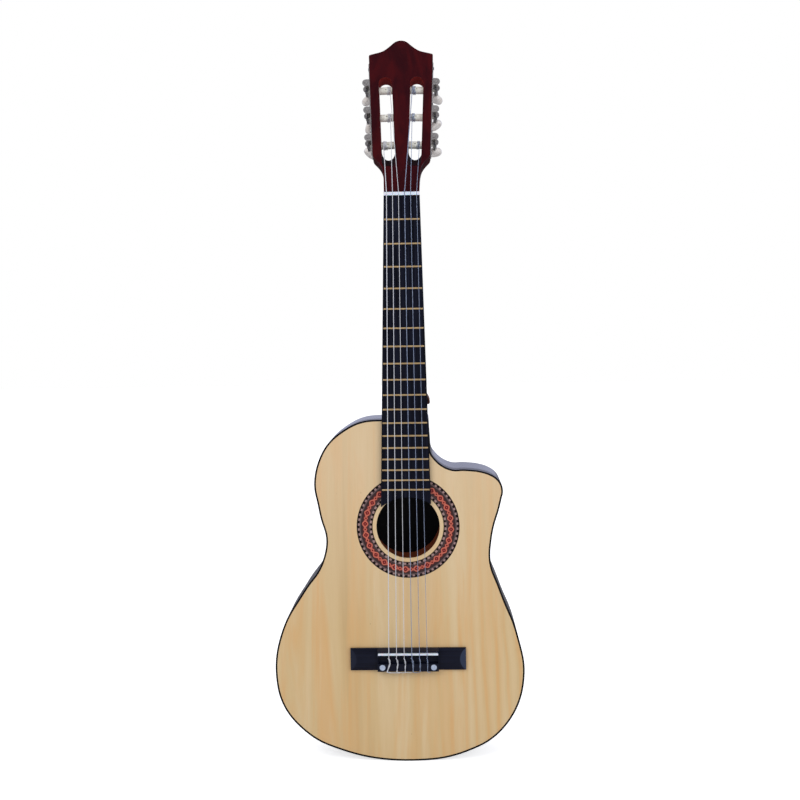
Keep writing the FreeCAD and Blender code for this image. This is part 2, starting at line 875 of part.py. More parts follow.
def roller_reach():
    """How far a roller reaches into the head from its side."""
    return size("slot_inset") + size("slot_width") / 2 + size("roller_tip_length")


def build_roller(number):
    """A moulded roller: journal in the wall, drum in the slot, tip in the middle bar."""
    reach = roller_reach()
    tip = size("roller_tip_length")
    play = size("machine_clearance")
    gear_front = size("worm_out") - size("gear_thickness") / 2
    outer = gear_front + size("gear_thickness")
    profile = [(0, play - reach), (size("roller_tip_radius"), play - reach),
               (size("roller_tip_radius"), tip + play - reach),
               (size("roller_radius"), tip + play - reach), (size("roller_radius"), -play),
               (size("roller_tenon_radius"), -play), (size("roller_tenon_radius"), outer),
               (0, outer)]
    roller = turned_body("roller_" + str(number), profile)
    hole = sketch_on(roller, "XZ_Plane", "roller_hole_" + str(number))
    centre = -size("slot_inset")
    middle = Vector(0, float(centre), 0)
    hole.addGeometry(Part.Circle(middle, Z_AXIS, float(size("roller_hole_radius"))), False)
    hole.addConstraint(Sketcher.Constraint("PointOnObject", 0, 3, -2))
    lift = hole.addConstraint(Sketcher.Constraint("DistanceY", -1, 1, 0, 3, float(centre)))
    hole.setExpression("Constraints[" + str(lift) + "]", formula_of(centre))
    wide = hole.addConstraint(Sketcher.Constraint("Radius", 0, float(size("roller_hole_radius"))))
    hole.setExpression("Constraints[" + str(wide) + "]", formula_of(size("roller_hole_radius")))
    bore = roller.newObject("PartDesign::Pocket", "roller_bore_" + str(number))
    bore.Profile = hole
    bore.Midplane = True
    bind(bore, Length=size("roller_radius") * 3)
    return placed(roller, number, Vector(), ALONG_X)


def build_gear(number):
    """The toothed wheel on the roller's end, with the screw that holds it."""
    name = "gear_" + str(number)
    disc = doc.addObject("PartDesign::Body", name + "_wheel")
    rim = sketch_on(disc, "XY_Plane", name + "_rim")
    rim.addGeometry(Part.Circle(Vector(), Z_AXIS, float(size("gear_tip_radius"))), False)
    rim.addGeometry(Part.Circle(Vector(), Z_AXIS, float(size("roller_tenon_radius"))), False)
    for index, alias in enumerate(("gear_tip_radius", "roller_tenon_radius")):
        rim.addConstraint(Sketcher.Constraint("Coincident", index, 3, -1, 1))
        mark = rim.addConstraint(Sketcher.Constraint("Radius", index, float(size(alias))))
        rim.setExpression("Constraints[" + str(mark) + "]", formula_of(size(alias)))
    pad = disc.newObject("PartDesign::Pad", name + "_pad")
    pad.Profile = rim
    bind(pad, Length=size("gear_thickness"))
    root = size("gear_root_radius")
    tip = size("gear_tip_radius") + size("overrun")
    narrow = size("gear_gap_root_width") / 2
    wide = size("gear_gap_tip_width") / 2
    gap = draw_polygon(sketch_on(disc, "XY_Plane", name + "_gap"),
                       [(-root, -narrow), (-tip, -wide), (-tip, wide), (-root, narrow)])
    teeth = disc.newObject("PartDesign::Pocket", name + "_gap_cut")
    teeth.Profile = gap
    teeth.Type = 1
    teeth.Midplane = True
    pattern = disc.newObject("PartDesign::PolarPattern", name + "_teeth")
    pattern.Originals = [teeth]
    pattern.Axis = (rim, ["N_Axis"])
    pattern.Angle = 360
    pattern.Occurrences = GEAR_TEETH
    disc.Tip = pattern
    head = rod(name + "_screw_head", size("gear_screw_radius"), size("gear_screw_height"))
    moved(head, 0, 0, size("gear_thickness"))
    reach = size("gear_screw_radius") * 2
    half = size("screw_slot_width") / 2
    top = size("gear_thickness") + size("gear_screw_height")
    slot = block(name + "_screw_slot", (-reach, reach), (-half, half),
                 (top - size("screw_slot_depth"), top + size("overrun")))
    screw = cut(name + "_screw", head, slot)
    both = group(name, [disc, screw])
    front = size("worm_out") - size("gear_thickness") / 2
    return placed(both, number, point(front, 0, 0), ALONG_X)


def worm_turn(number, extra_angle=0):
    """A shaft's turn: its own Z to the back of the head, its own X down to the gear."""
    back = Vector(0, back_sign(number), 0)
    down = Vector(0, 0, -1)
    across = back.cross(down)
    turn = Rotation(down, across, back, "ZXY")
    return turn.multiply(Rotation(Z_AXIS, extra_angle))


def worm_base():
    """Where a worm's middle lies in its machine's frame."""
    return point(size("worm_out"), 0, size("worm_rise"))


def worm_pitch():
    """How far the worm's thread climbs in one turn: one tooth of the gear."""
    return size("gear_pitch_radius") * (2 * pi / GEAR_TEETH)


def build_worm_shaft(number):
    """The shaft with its worm, held by the plate's two ears, and a collar to the button."""
    name = "worm_shaft_" + str(number)
    half_plate = size("machine_plate_width") / 2
    play = size("machine_clearance")
    thread_half = worm_pitch() * size("worm_turns") / 2 + size("worm_root_width")
    collar = half_plate + play
    collar_end = collar + size("collar_length")
    stem_end = collar_end + size("button_neck_length") + size("button_length") * STEM_SHARE
    head = -(half_plate + play)
    profile = [(0, head - size("shaft_head_height")),
               (size("shaft_head_radius"), head - size("shaft_head_height")),
               (size("shaft_head_radius"), head), (size("shaft_radius"), head),
               (size("shaft_radius"), -thread_half), (size("worm_core_radius"), -thread_half),
               (size("worm_core_radius"), thread_half), (size("shaft_radius"), thread_half),
               (size("shaft_radius"), collar), (size("collar_radius"), collar),
               (size("collar_radius"), collar_end), (size("stem_radius"), collar_end),
               (size("stem_radius"), stem_end), (0, stem_end)]
    shaft = turned_body(name, profile)
    root = size("worm_core_radius") * THREAD_ROOT_SHARE
    low = -(worm_pitch() * size("worm_turns")) / 2
    root_half = size("worm_root_width") / 2
    crest_half = size("worm_crest_width") / 2
    crest = size("worm_crest_radius")
    tooth = draw_polygon(sketch_on(shaft, "XZ_Plane", name + "_tooth"),
                         [(root, low - root_half), (crest, low - crest_half),
                          (crest, low + crest_half), (root, low + root_half)])
    thread = shaft.newObject("PartDesign::AdditiveHelix", name + "_thread")
    thread.Profile = tooth
    thread.ReferenceAxis = (tooth, ["V_Axis"])
    thread.Mode = 0
    thread.LeftHanded = False
    bind(thread, Pitch=worm_pitch(), Height=worm_pitch() * size("worm_turns"))
    return placed(shaft, number, worm_base(), worm_turn(number))


def build_button(number):
    """An oval moulded button with rounded rims, bored for the shaft's stem."""
    name = "button_" + str(number)
    start = size("machine_plate_width") / 2 + size("machine_clearance") + size("collar_length")
    middle = start + size("button_neck_length") + size("button_length") / 2
    half_thick = size("button_thickness") / 2
    oval = doc.addObject("Part::Ellipse", name + "_oval")
    bind(oval, MajorRadius=size("button_width") / 2, MinorRadius=size("button_length") / 2)
    oval.Placement = Placement(Vector(), Rotation(X_AXIS, QUARTER_TURN))
    paddle = extruded(name + "_paddle", oval, Y_AXIS, size("button_thickness"))
    moved(paddle, 0, -half_thick, middle)
    oval.recompute()
    paddle.recompute()
    rounded = doc.addObject("Part::Fillet", name + "_rounded")
    rounded.Base = paddle
    rounding = float(size("button_rounding"))
    rims = [index for index, edge in enumerate(paddle.Shape.Edges, start=1)
            if edge.isClosed() and not edge.Degenerated and edge.Curve.TypeId == "Part::GeomEllipse"]
    rounded.Edges = [(index, rounding, rounding) for index in rims]
    neck = rod(name + "_neck", size("button_neck_radius"), size("button_neck_length") + half_thick)
    moved(neck, 0, 0, start)
    whole = fused(name + "_whole", rounded, neck)
    stem_length = size("button_neck_length") + size("button_length") * STEM_SHARE
    bore = rod(name + "_bore", size("stem_radius"), stem_length + size("overrun"))
    moved(bore, 0, 0, start - size("overrun"))
    button = cut(name, whole, bore)
    return placed(button, number, worm_base(), worm_turn(number, BUTTON_ANGLES[number]))


def build_machine_plate(side):
    """One side's plate with two bent ears for each worm shaft."""
    tag = "treble" if side > 0 else "bass"
    numbers = (1, 2, 3) if side > 0 else (6, 5, 4)
    half = size("machine_plate_width") / 2
    thick = size("machine_plate_thickness")
    first = size("roller_first")
    strip = block("plate_strip_" + tag, (0, thick), (-half, half),
                  (size("machine_plate_bottom") - first, size("machine_plate_top") - first))
    pieces = [strip]
    holes = []
    ear_half = size("ear_width") / 2
    for step, number in enumerate(numbers):
        height = side_step(step)
        lift = height + size("worm_rise")
        for edge, face in (("low", -half), ("high", half - size("ear_thickness"))):
            ear_name = "ear_" + edge + "_" + str(number)
            ear = block(ear_name, (0, size("ear_reach") - ear_half),
                        (face, face + size("ear_thickness")), (lift - ear_half, lift + ear_half))
            nose = rod(ear_name + "_nose", ear_half, size("ear_thickness"), ALONG_Y)
            moved(nose, size("ear_reach") - ear_half, face, lift)
            pieces += [ear, nose]
        shaft_hole = rod("shaft_hole_" + str(number), size("shaft_radius") + size("machine_clearance"),
                         size("machine_plate_width") * 2, ALONG_Y)
        moved(shaft_hole, size("worm_out"), -size("machine_plate_width"), lift)
        tenon_hole = rod("tenon_hole_" + str(number),
                         size("roller_tenon_radius") + size("machine_clearance"), thick * 4, ALONG_X)
        moved(tenon_hole, -thick, 0, height)
        holes += [shaft_hole, tenon_hole]
    for screw, height in enumerate(plate_screw_heights()):
        hole = rod("plate_screw_hole_" + tag + str(screw), size("plate_screw_radius"), thick * 4, ALONG_X)
        holes.append(moved(hole, -thick, 0, height))
    blank = fused("plate_blank_" + tag, *pieces)
    plate = cut("tuner_plate_" + tag, blank, group("plate_holes_" + tag, holes))
    plate.Placement = machine_place(numbers[0])
    return plate


def taper_angle():
    """How far each of the head's sides leans out towards the tip."""
    widening = size("head_upper_half_width") - size("head_lower_half_width")
    rise = size("head_upper_height") - size("head_lower_height")
    return degrees(atan(float(widening) / float(rise)))


def side_step(step):
    """The way along the head's leaning side from the first machine to a later one."""
    return size("roller_pitch") * step / cos(radians(taper_angle()))


def plate_screw_heights():
    """Where the plate's screws sit along it, from its first roller."""
    first = size("roller_first")
    low = size("machine_plate_bottom") - first + size("plate_screw_inset")
    high = size("machine_plate_top") - first - size("plate_screw_inset")
    middle = size("roller_pitch") / 2
    return (low, middle, middle + size("roller_pitch"), high)


def build_plate_screws():
    """The round-headed screws that hold both plates to the head's sides."""
    screws = []
    for number in (1, 6):
        place = machine_place(number)
        for index, height in enumerate(plate_screw_heights()):
            name = "plate_screw_" + str(number) + str(index)
            length = size("plate_screw_length")
            shank = rod(name + "_shank", size("plate_screw_radius"), length, ALONG_X)
            moved(shank, size("machine_plate_thickness") - length, 0, height)
            head = rod(name + "_head", size("plate_screw_head_radius"), size("plate_screw_head_height"),
                       ALONG_X)
            moved(head, size("machine_plate_thickness"), 0, height)
            screw = fused(name, shank, head)
            screw.Placement = place
            screws.append(screw)
    return group("tuner_screws", screws)


def build_head():
    """The slotted head: blank, slots, ramps and the bores for rollers and screws."""
    face = shape("head_face", Part.Face(head_outline()))
    blank = extruded("head_blank", face, Y_AXIS, size("head_thickness"))
    slotted = cut("head_slotted", blank, build_slot_cut(-1), build_slot_cut(1))
    slotted.Placement = head_place()
    bores = []
    for number in range(1, STRINGS + 1):
        wall = size("slot_inset") - size("slot_width") / 2
        name = "roller_bore_cut_" + str(number)
        wide = rod(name + "_wall", size("roller_radius") + size("roller_play"),
                   wall + size("overrun") * 2, ALONG_X)
        moved(wide, -wall - size("overrun"), 0, 0)
        tip = rod(name + "_tip", size("roller_tip_radius") + size("roller_play"),
                  size("roller_tip_length") + size("overrun"), ALONG_X)
        moved(tip, -roller_reach(), 0, 0)
        bore = group(name, [wide, tip])
        bore.Placement = machine_place(number)
        bores.append(bore)
    for number in (1, 6):
        for index, height in enumerate(plate_screw_heights()):
            hole = rod("screw_bore_" + str(number) + str(index), size("plate_screw_radius"),
                       size("plate_screw_length"), ALONG_X)
            moved(hole, -size("plate_screw_length") + size("machine_plate_thickness"), 0, height)
            holder = group("screw_bore_place_" + str(number) + str(index), [hole])
            holder.Placement = machine_place(number)
            bores.append(holder)
    return cut("head", slotted, group("head_bores", bores))


def build_neck():
    """Head, shaft and heel, one piece of wood."""
    wood = fused("neck_wood", build_neck_shaft(), build_heel(), build_throat(), build_head())
    screw = rod("strap_screw_bore", size("strap_screw_radius"), size("strap_screw_length"), ALONG_X)
    moved(screw, -size("strap_screw_length") + size("strap_foot_radius") / 2, 0, 0)
    seat = rod("strap_seat_cut", size("strap_foot_radius") + size("machine_clearance"),
               size("strap_length"), ALONG_X)
    return cut("neck", wood, on_heel(screw), on_heel(seat))


def strap_place():
    """Where the strap button's foot meets the heel, leaning up and back with the heel's side."""
    lean = Rotation(Z_AXIS, float(size("strap_sweep"))) * Rotation(Y_AXIS, -float(size("strap_lean")))
    return Placement(point(size("strap_seat"), size("strap_depth"), -STRAP_BELOW_NUT), lean)


def on_heel(thing):
    """Carry a thing from the strap button's own axes to its place on the heel."""
    holder = group(thing.Name + "_place", [thing])
    holder.Placement = strap_place()
    return holder


def build_strap_button():
    """A turned strap button on the treble side of the heel."""
    length = size("strap_length")
    flange = length - size("strap_flange_thickness")
    foot = size("strap_foot_radius")
    waist = size("strap_waist_radius")
    inner = size("strap_screw_radius")
    rim = size("strap_flange_radius")
    profile = [(inner, 0), (foot, 0), (foot, foot * STRAP_FOOT_SHARE), (waist, foot),
               (waist, flange - waist * STRAP_WAIST_SHARE), (rim, flange),
               (rim, length - size("strap_flange_thickness") * STRAP_RIM_SHARE),
               (rim * STRAP_CROWN_SHARE, length), (inner, length)]
    button = turned_body("strap_button", profile)
    button.Placement = strap_place().multiply(Placement(Vector(), ALONG_X))
    return button


def build_strap_screw():
    """The screw through the strap button."""
    length = size("strap_length") + size("strap_screw_length")
    radius = size("strap_screw_radius")
    grip = size("strap_screw_length") - size("strap_foot_radius") / 2
    shank = rod("strap_screw_shank", radius, size("strap_length") + grip, ALONG_X)
    moved(shank, -grip, 0, 0)
    head = rod("strap_screw_head", radius * 2, radius, ALONG_X)
    moved(head, size("strap_length"), 0, 0)
    screw = fused("strap_screw", shank, head)
    screw.Placement = strap_place()
    return screw


def build_soundboard():
    """The top plate with its round hole and the rosette's recess."""
    slab = body_slab("soundboard_blank", size("rib_thickness"), 0, size("soundboard_thickness"))
    hole = rod("sound_hole", size("hole_radius"), size("soundboard_thickness") * 3, ALONG_Y)
    moved(hole, size("hole_aside"), -size("soundboard_thickness"), -HOLE_BELOW_NUT)
    recess_outer = rod("rosette_recess_outer", size("rosette_outer_radius"),
                       size("rosette_depth") + size("overrun"), ALONG_Y)
    recess_inner = rod("rosette_recess_inner", size("rosette_inner_radius"),
                       size("rosette_depth") + size("overrun"), ALONG_Y)
    for thing in (recess_outer, recess_inner):
        moved(thing, size("hole_aside"), -size("overrun"), -HOLE_BELOW_NUT)
    recess = cut("rosette_recess", recess_outer, recess_inner)
    bolts = [moved(rod("soundboard_bolt_hole_" + str(index), size("bolt_radius"),
                       size("soundboard_thickness") * 3, ALONG_Y),
                   x, -size("soundboard_thickness"), -bolt_below_nut())
             for index, x in enumerate(bolt_places())]
    return cut("soundboard", slab, hole, recess, group("soundboard_bolt_holes", bolts))


def build_rosette():
    """Three inlaid rings round the sound hole, flush with the top."""
    radii = [size("rosette_inner_radius"), size("rosette_band_inner_radius"),
             size("rosette_band_outer_radius"), size("rosette_outer_radius")]
    rings = []
    for index in range(len(radii) - 1):
        outer = rod("rosette_outer_" + str(index), radii[index + 1], size("rosette_depth"), ALONG_Y)
        inner = rod("rosette_inner_" + str(index), radii[index], size("rosette_depth"), ALONG_Y)
        for thing in (outer, inner):
            moved(thing, size("hole_aside"), 0, -HOLE_BELOW_NUT)
        rings.append(cut("rosette_ring_" + str(index), outer, inner))
    return group("rosette", rings)


def build_box_walls():
    """Ribs in two halves, linings, bindings and the back plate."""
    depth = size("body_depth")
    edge = size("binding_height")
    rib = size("rib_thickness")
    inner = rib + size("lining_width")
    built = []
    wide = size("lower_bout")
    ring = body_ring("rib_ring", 0, rib, edge, depth - edge)
    for tag, span in (("bass", (-wide, 0)), ("treble", (0, wide))):
        half = block("rib_half_" + tag, span, (-edge, depth + edge),
                     (-BODY_BOTTOM * 2, 0))
        built.append(shared("ribs_" + tag, ring, half))
    built.append(body_ring("top_binding", 0, rib, 0, edge))
    built.append(body_ring("back_binding", 0, rib, depth - edge, depth))
    built.append(body_slab("back_plate", rib, depth - size("back_thickness"), depth))
    top_start = size("soundboard_thickness")
    back_start = depth - size("back_thickness") - size("lining_height")
    for tag, start in (("top", top_start), ("back", back_start)):
        strip = body_ring(tag + "_lining_ring", rib, inner, start, start + size("lining_height"))
        room = [block_room("neck", tag), block_room("tail", tag)]
        built.append(cut(tag + "_lining", strip, *room))
    return built


def block_room(which, tag):
    """The space of the neck or tail block, to cut from what meets it."""
    if which == "neck":
        half = size("neck_block_half_width")
        span = (-half, half)
        heights = (-(BODY_TOP + size("neck_block_height")), -BODY_TOP)
    else:
        half = size("tail_block_width") / 2
        span = (-half, half)
        heights = (-BODY_BOTTOM, size("tail_block_height") - BODY_BOTTOM)
    return block(which + "_room_" + tag, span, (0, size("body_depth")), heights)


def build_blocks():
    """The neck block and the tail block, shaped to the ribs' inside."""
    front = size("soundboard_thickness")
    back = size("body_depth") - size("back_thickness")
    built = []
    for which in ("neck", "tail"):
        inside = body_slab(which + "_block_inside", size("rib_thickness"), front, back)
        built.append(shared(which + "_block", inside, block_room(which, "block")))
    return built


def inside_lining(name, front, back):
    """The box's inside, clear of the linings."""
    return body_slab(name, size("rib_thickness") + size("lining_width"), front, back)


def build_top_braces():
    """Two cross bars and a fan of struts under the top."""
    front = size("soundboard_thickness")
    wide = size("lower_bout")
    bars = []
    gap = size("hole_radius") + size("brace_off_hole")
    for index, centre in enumerate((HOLE_BELOW_NUT - gap, HOLE_BELOW_NUT + gap)):
        bar = block("top_bar_" + str(index), (-wide, wide), (front, front + size("brace_height")),
                    (-(centre + size("brace_width") / 2), size("brace_width") / 2 - centre))
        bars.append(shared("top_bar_fitted_" + str(index), bar,
                           inside_lining("top_bar_room_" + str(index), front,
                                         front + size("brace_height"))))
    low = HOLE_BELOW_NUT + gap + size("brace_width")
    plate_top = BRIDGE_TOP + (size("bridge_height_along") - size("plate_height")) / 2
    length = plate_top - size("fan_gap") - low
    for step in FAN_STEPS:
        strut = doc.addObject("Part::Box", "fan_strut_" + str(step - FAN_STEPS[0]))
        bind(strut, Length=size("fan_width"), Width=size("fan_height"), Height=length)
        middle = Placement(point(size("fan_pitch") * step, front, -low),
                           Rotation(Y_AXIS, -FAN_SPLAY_ANGLE * step))
        corner = Placement(point(-size("fan_width") / 2, 0, -length), Rotation())
        strut.Placement = middle.multiply(corner)
        bars.append(strut)
    return group("top_braces", bars)


def back_bar_centre(share):
    """How far a bar on the back lies below the nut."""
    return BODY_TOP + size("body_length") * share


def build_back_braces():
    """Three cross bars on the back."""
    back = size("body_depth") - size("back_thickness")
    front = back - size("brace_height")
    wide = size("lower_bout")
    bars = []
    for index, share in enumerate(BACK_BRACE_SHARES):
        centre = back_bar_centre(share)
        bar = block("back_bar_" + str(index), (-wide, wide), (front, back),
                    (-(centre + size("brace_width") / 2), size("brace_width") / 2 - centre))
        bars.append(shared("back_bar_fitted_" + str(index), bar,
                           inside_lining("back_bar_room_" + str(index), front, back)))
    return group("back_braces", bars)


def build_label():
    """A plain round label on the back between two bars, seen through the sound hole."""
    back = size("body_depth") - size("back_thickness")
    upper, lower = [back_bar_centre(share) for share in BACK_BRACE_SHARES[:2]]
    radius = (lower - upper - size("brace_width")) / 2 - size("label_gap")
    disc = rod("label", radius, size("label_thickness"), ALONG_Y)
    return moved(disc, -size("label_aside"), back - size("label_thickness"), -(upper + lower) / 2)


def bolt_places():
    """Where the two bridge bolts lie, left and right."""
    x = size("bridge_block_width") / 2 - size("dot_inset")
    return (-x, x)


def bolt_below_nut():
    """How far the bridge bolts lie below the nut."""
    return BRIDGE_BOTTOM - size("dot_rise")


def wing_blank():
    """The bridge's two wings, arched across and bevelled at their ends."""
    half = size("bridge_width") / 2
    thick = size("bridge_wing_thickness")
    low = BRIDGE_BOTTOM - size("wing_shortfall")
    blank = block("bridge_wings", (-half, half), (-thick, 0), (-low, -BRIDGE_TOP))
    across = float(low - BRIDGE_TOP) / 2
    sink = float(thick - size("wing_edge_thickness"))
    arch_radius = (across ** 2 + sink ** 2) / (2 * sink)
    arch = rod("wing_arch", arch_radius, size("bridge_width") * 2, ALONG_X)
    moved(arch, -half * 2, arch_radius - thick, -(low + BRIDGE_TOP) / 2)
    arched = shared("wings_arched", blank, arch)
    bevels = []
    for side in (-1, 1):
        rise = thick - size("wing_edge_thickness")
        reach = size("wing_bevel_length")
        slope = rise / reach
        spill = size("overrun")
        corners = [point((half - reach) * side, -thick, 0),
                   point((half + spill) * side, -thick + slope * (reach + spill), 0),
                   point((half + spill) * side, -thick * 2, 0), point((half - reach) * side, -thick * 2, 0)]
        face = shape("wing_bevel_face_" + str(side + 1), Part.Face(Part.makePolygon(corners + corners[:1])))
        bevel = extruded("wing_bevel_" + str(side + 1), face, Z_AXIS, size("bridge_height_along") * 2)
        bevels.append(moved(bevel, 0, 0, -BRIDGE_BOTTOM - size("bridge_height_along") / 2))
    return cut("wings_bevelled", arched, *bevels)


def middle_blank():
    """The bridge's middle with its sloping front edge."""
    half = size("bridge_block_width") / 2
    top = -size("bridge_thickness")
    bevel = size("bridge_front_bevel")
    corners = [point(-half, 0, -BRIDGE_BOTTOM), point(-half, 0, -BRIDGE_TOP),
               point(-half, -size("wing_edge_thickness"), -BRIDGE_TOP),
               point(-half, top, -BRIDGE_TOP - bevel), point(-half, top, -BRIDGE_BOTTOM)]
    face = shape("bridge_middle_face", Part.Face(Part.makePolygon(corners + corners[:1])))
    return extruded("bridge_middle", face, X_AXIS, size("bridge_block_width"))


def saddle_bar(name, front, back):
    """A bar with round ends in plan, for the saddle and for its slot."""
    half = size("saddle_thickness") / 2
    reach = size("saddle_length") / 2 - half
    bar = block(name + "_bar", (-reach, reach), (front, back), (-SLOT_BACK, half - SADDLE_BELOW_NUT))
    ends = []
    for tag, x in (("left", -reach), ("right", reach)):
        ends.append(moved(rod(name + "_end_" + tag, half, back - front, ALONG_Y),
                          x, front, -SADDLE_BELOW_NUT))
    return fused(name, bar, *ends)


def build_bridge():
    """The bridge: two wings and a tie block with saddle slot, trough and holes."""
    block_half = size("bridge_block_width") / 2
    body = fused("bridge_blank", wing_blank(), middle_blank())
    reach = size("saddle_length") / 2
    above = -size("bridge_thickness") - size("overrun")
    trough = block("tie_trough", (-reach, reach), (above, -size("trough_floor")),
                   (-TROUGH_END, -TROUGH_START))
    tools = [saddle_bar("saddle_slot", above, -size("trough_floor")), trough]
    for number in range(1, STRINGS + 1):
        length = BRIDGE_BOTTOM - TROUGH_END + size("overrun") * 2
        hole = rod("tie_hole_" + str(number), size("tie_hole_radius"), length)
        tools.append(moved(hole, string_x(number, size("string_pitch_saddle")),
                           -size("tie_hole_depth"), -(BRIDGE_BOTTOM + size("overrun"))))
    for index, x in enumerate(bolt_places()):
        top = -size("bridge_thickness")
        for part, radius, front, length in (
                ("dot_seat_", size("dot_radius"), above, size("dot_thickness") + size("overrun")),
                ("bolt_head_seat_", size("bolt_head_radius"), top,
                 size("bolt_head_height") + size("dot_thickness")),
                ("bolt_hole_", size("bolt_radius"), top, size("bridge_thickness") * 2)):
            hole = rod(part + str(index), radius, length, ALONG_Y)
            tools.append(moved(hole, x, front, -bolt_below_nut()))
    return cut("bridge", body, *tools)


def build_saddle():
    """The saddle with a round top."""
    half = size("saddle_thickness") / 2
    blank = saddle_bar("saddle_blank", -SADDLE_TOP, -size("trough_floor"))
    reach = size("saddle_length")
    crown = rod("saddle_crown", half, reach * 2, ALONG_X)
    moved(crown, -reach, half - SADDLE_TOP, -SADDLE_BELOW_NUT)
    body = block("saddle_body", (-reach, reach), (half - SADDLE_TOP, -size("trough_floor")),
                 (-SLOT_BACK, half - SADDLE_BELOW_NUT))
    return shared("saddle", blank, fused("saddle_round", crown, body))


def build_bridge_dots():
    """Two pearl dots that cover the bridge bolts."""
    dots = []
    for index, x in enumerate(bolt_places()):
        dot = rod("bridge_dot_" + str(index), size("dot_radius"), size("dot_thickness"), ALONG_Y)
        dots.append(moved(dot, x, -size("bridge_thickness"), -bolt_below_nut()))
    return group("bridge_dots", dots)


def build_bridge_bolts():
    """The bolts under the dots, from the tie block through the top to their nuts inside."""
    bolts = []
    inside = size("soundboard_thickness") + size("plate_thickness")
    for index, x in enumerate(bolt_places()):
        start = size("dot_thickness") - size("bridge_thickness")
        head = rod("bolt_head_" + str(index), size("bolt_head_radius"), size("bolt_head_height"), ALONG_Y)
        moved(head, x, start, -bolt_below_nut())
        shank = rod("bolt_shank_" + str(index), size("bolt_radius"),
                    inside + size("bolt_nut_height") + size("overrun") - start, ALONG_Y)
        moved(shank, x, start, -bolt_below_nut())
        bolts.append(fused("bridge_bolt_" + str(index), head, shank))
        nut = rod("bolt_nut_blank_" + str(index), size("bolt_nut_radius"), size("bolt_nut_height"), ALONG_Y)
        moved(nut, x, inside, -bolt_below_nut())
        bore = rod("bolt_nut_bore_" + str(index), size("bolt_radius"), size("bolt_nut_height") * 3, ALONG_Y)
        moved(bore, x, inside - size("bolt_nut_height"), -bolt_below_nut())
        bolts.append(cut("bolt_nut_" + str(index), nut, bore))
    return group("bridge_bolts", bolts)


def build_bridge_plate():
    """The flat patch under the bridge."""
    half = size("plate_length") / 2
    front = size("soundboard_thickness")
    centre = BRIDGE_TOP + size("bridge_height_along") / 2
    patch = block("bridge_patch", (-half, half), (front, front + size("plate_thickness")),
                  (-(centre + size("plate_height") / 2), size("plate_height") / 2 - centre))
    holes = [moved(rod("patch_hole_" + str(index), size("bolt_radius"), size("plate_thickness") * 4,
                       ALONG_Y), x, front - size("plate_thickness"), -bolt_below_nut())
             for index, x in enumerate(bolt_places())]
    return cut("bridge_plate", patch, group("patch_holes", holes))


def rounded_edges(points, radii):
    """A path through points, each corner between its ends rounded by a tangent arc."""
    edges = []
    last = points[0]
    for before, here, after, radius in zip(points, points[1:], points[2:], radii):
        leave = Vector(before - here).normalize()
        arrive = Vector(after - here).normalize()
        trim = float(radius) / tan(leave.getAngle(arrive) / 2)
        start = here + leave * trim
        end = here + arrive * trim
        edges.append(line(last, start))
        edges.append(tangent_arc(start, -leave, end))
        last = end
    edges.append(line(last, points[-1]))
    return edges


def tie_loop(number):
    """How far a string's tie loop stands to each side of the string."""
    return float(STRING_RADII[number - 1] * 2 + size("tie_gap"))


def saddle_corner(number):
    """Where a string's two straight runs over the saddle's round top would meet."""
    radius = STRING_RADII[number - 1]
    bend = float(size("saddle_thickness") / 2 + radius)
    drop = float(SADDLE_TOP - size("saddle_thickness") / 2 - size("tie_hole_depth"))
    run = float(TROUGH_END - SADDLE_BELOW_NUT)
    turn = atan(drop / run) + asin(bend / sqrt(drop ** 2 + run ** 2))
    x = string_x(number, size("string_pitch_saddle"))
    return point(x, -(SADDLE_TOP + radius), -(SADDLE_BELOW_NUT + bend * tan(turn / 2)))


def tie_points(number):
    """A string's corners from the tie block's front, through it and round itself."""
    radius = STRING_RADII[number - 1]
    gap = radius + size("coil_clearance")
    x = string_x(number, size("string_pitch_saddle"))
    top = -(size("bridge_thickness") + gap)
    floor = -(size("trough_floor") + gap)
    hole = -size("tie_hole_depth")
    loop = tie_loop(number)
    behind = -(BRIDGE_BOTTOM + loop * FOLD_SHARE * 2)
    edge = gap - TROUGH_END
    under = -(TROUGH_START + size("trough_width") / 2)
    return [point(x, hole, -TROUGH_END), point(x, hole, behind), point(x + loop / 2, top, behind),
            point(x + loop, top, edge), point(x + loop, floor, under), point(x - loop, floor, under),
            point(x - loop, top, edge),
            point(x - loop - size("tie_tail_lean"), top, -(BRIDGE_BOTTOM + size("tie_tail_overhang")))]


def coil_edges(number, nut_far):
    """A string's coils round its roller and its free end, in the machine's own frame."""
    radius = STRING_RADII[number - 1]
    back = back_sign(number)
    coil = float(size("roller_radius") + radius + size("coil_clearance"))
    landing = float(size("slot_width") * COIL_LANDING_SHARES[number] - size("slot_inset"))
    step = float(radius * 2 + size("coil_gap")) * COIL_WAYS[number]
    to_axis = Vector(0, -nut_far.y, -nut_far.z)
    reach = to_axis.Length
    lean = Rotation(X_AXIS, degrees(asin(coil / reach)) * back)
    heading = lean.multVec(to_axis.normalize())
    touch = Vector(landing, nut_far.y, nut_far.z) + heading * sqrt(reach ** 2 - coil ** 2)
    spoke = Vector(0, touch.y, touch.z)
    quarters = ceil(COIL_TURNS * QUARTERS)
    edges = []
    here = touch
    tangent = (touch - nut_far).normalize()
    for quarter in range(1, quarters + 1):
        turns = COIL_TURNS * quarter / quarters
        spin = Rotation(X_AXIS, -back * turns * 360)
        there = spin.multVec(spoke) + X_AXIS * (landing + step * turns)
        following = spin.multVec(heading) + X_AXIS * (step / (2 * pi * coil))
        following.normalize()
        edges += two_arcs(here, tangent, there, following)
        here = there
        tangent = following
    edges.append(line(here, here + tangent * float(size("tail_length"))))
    return touch, edges


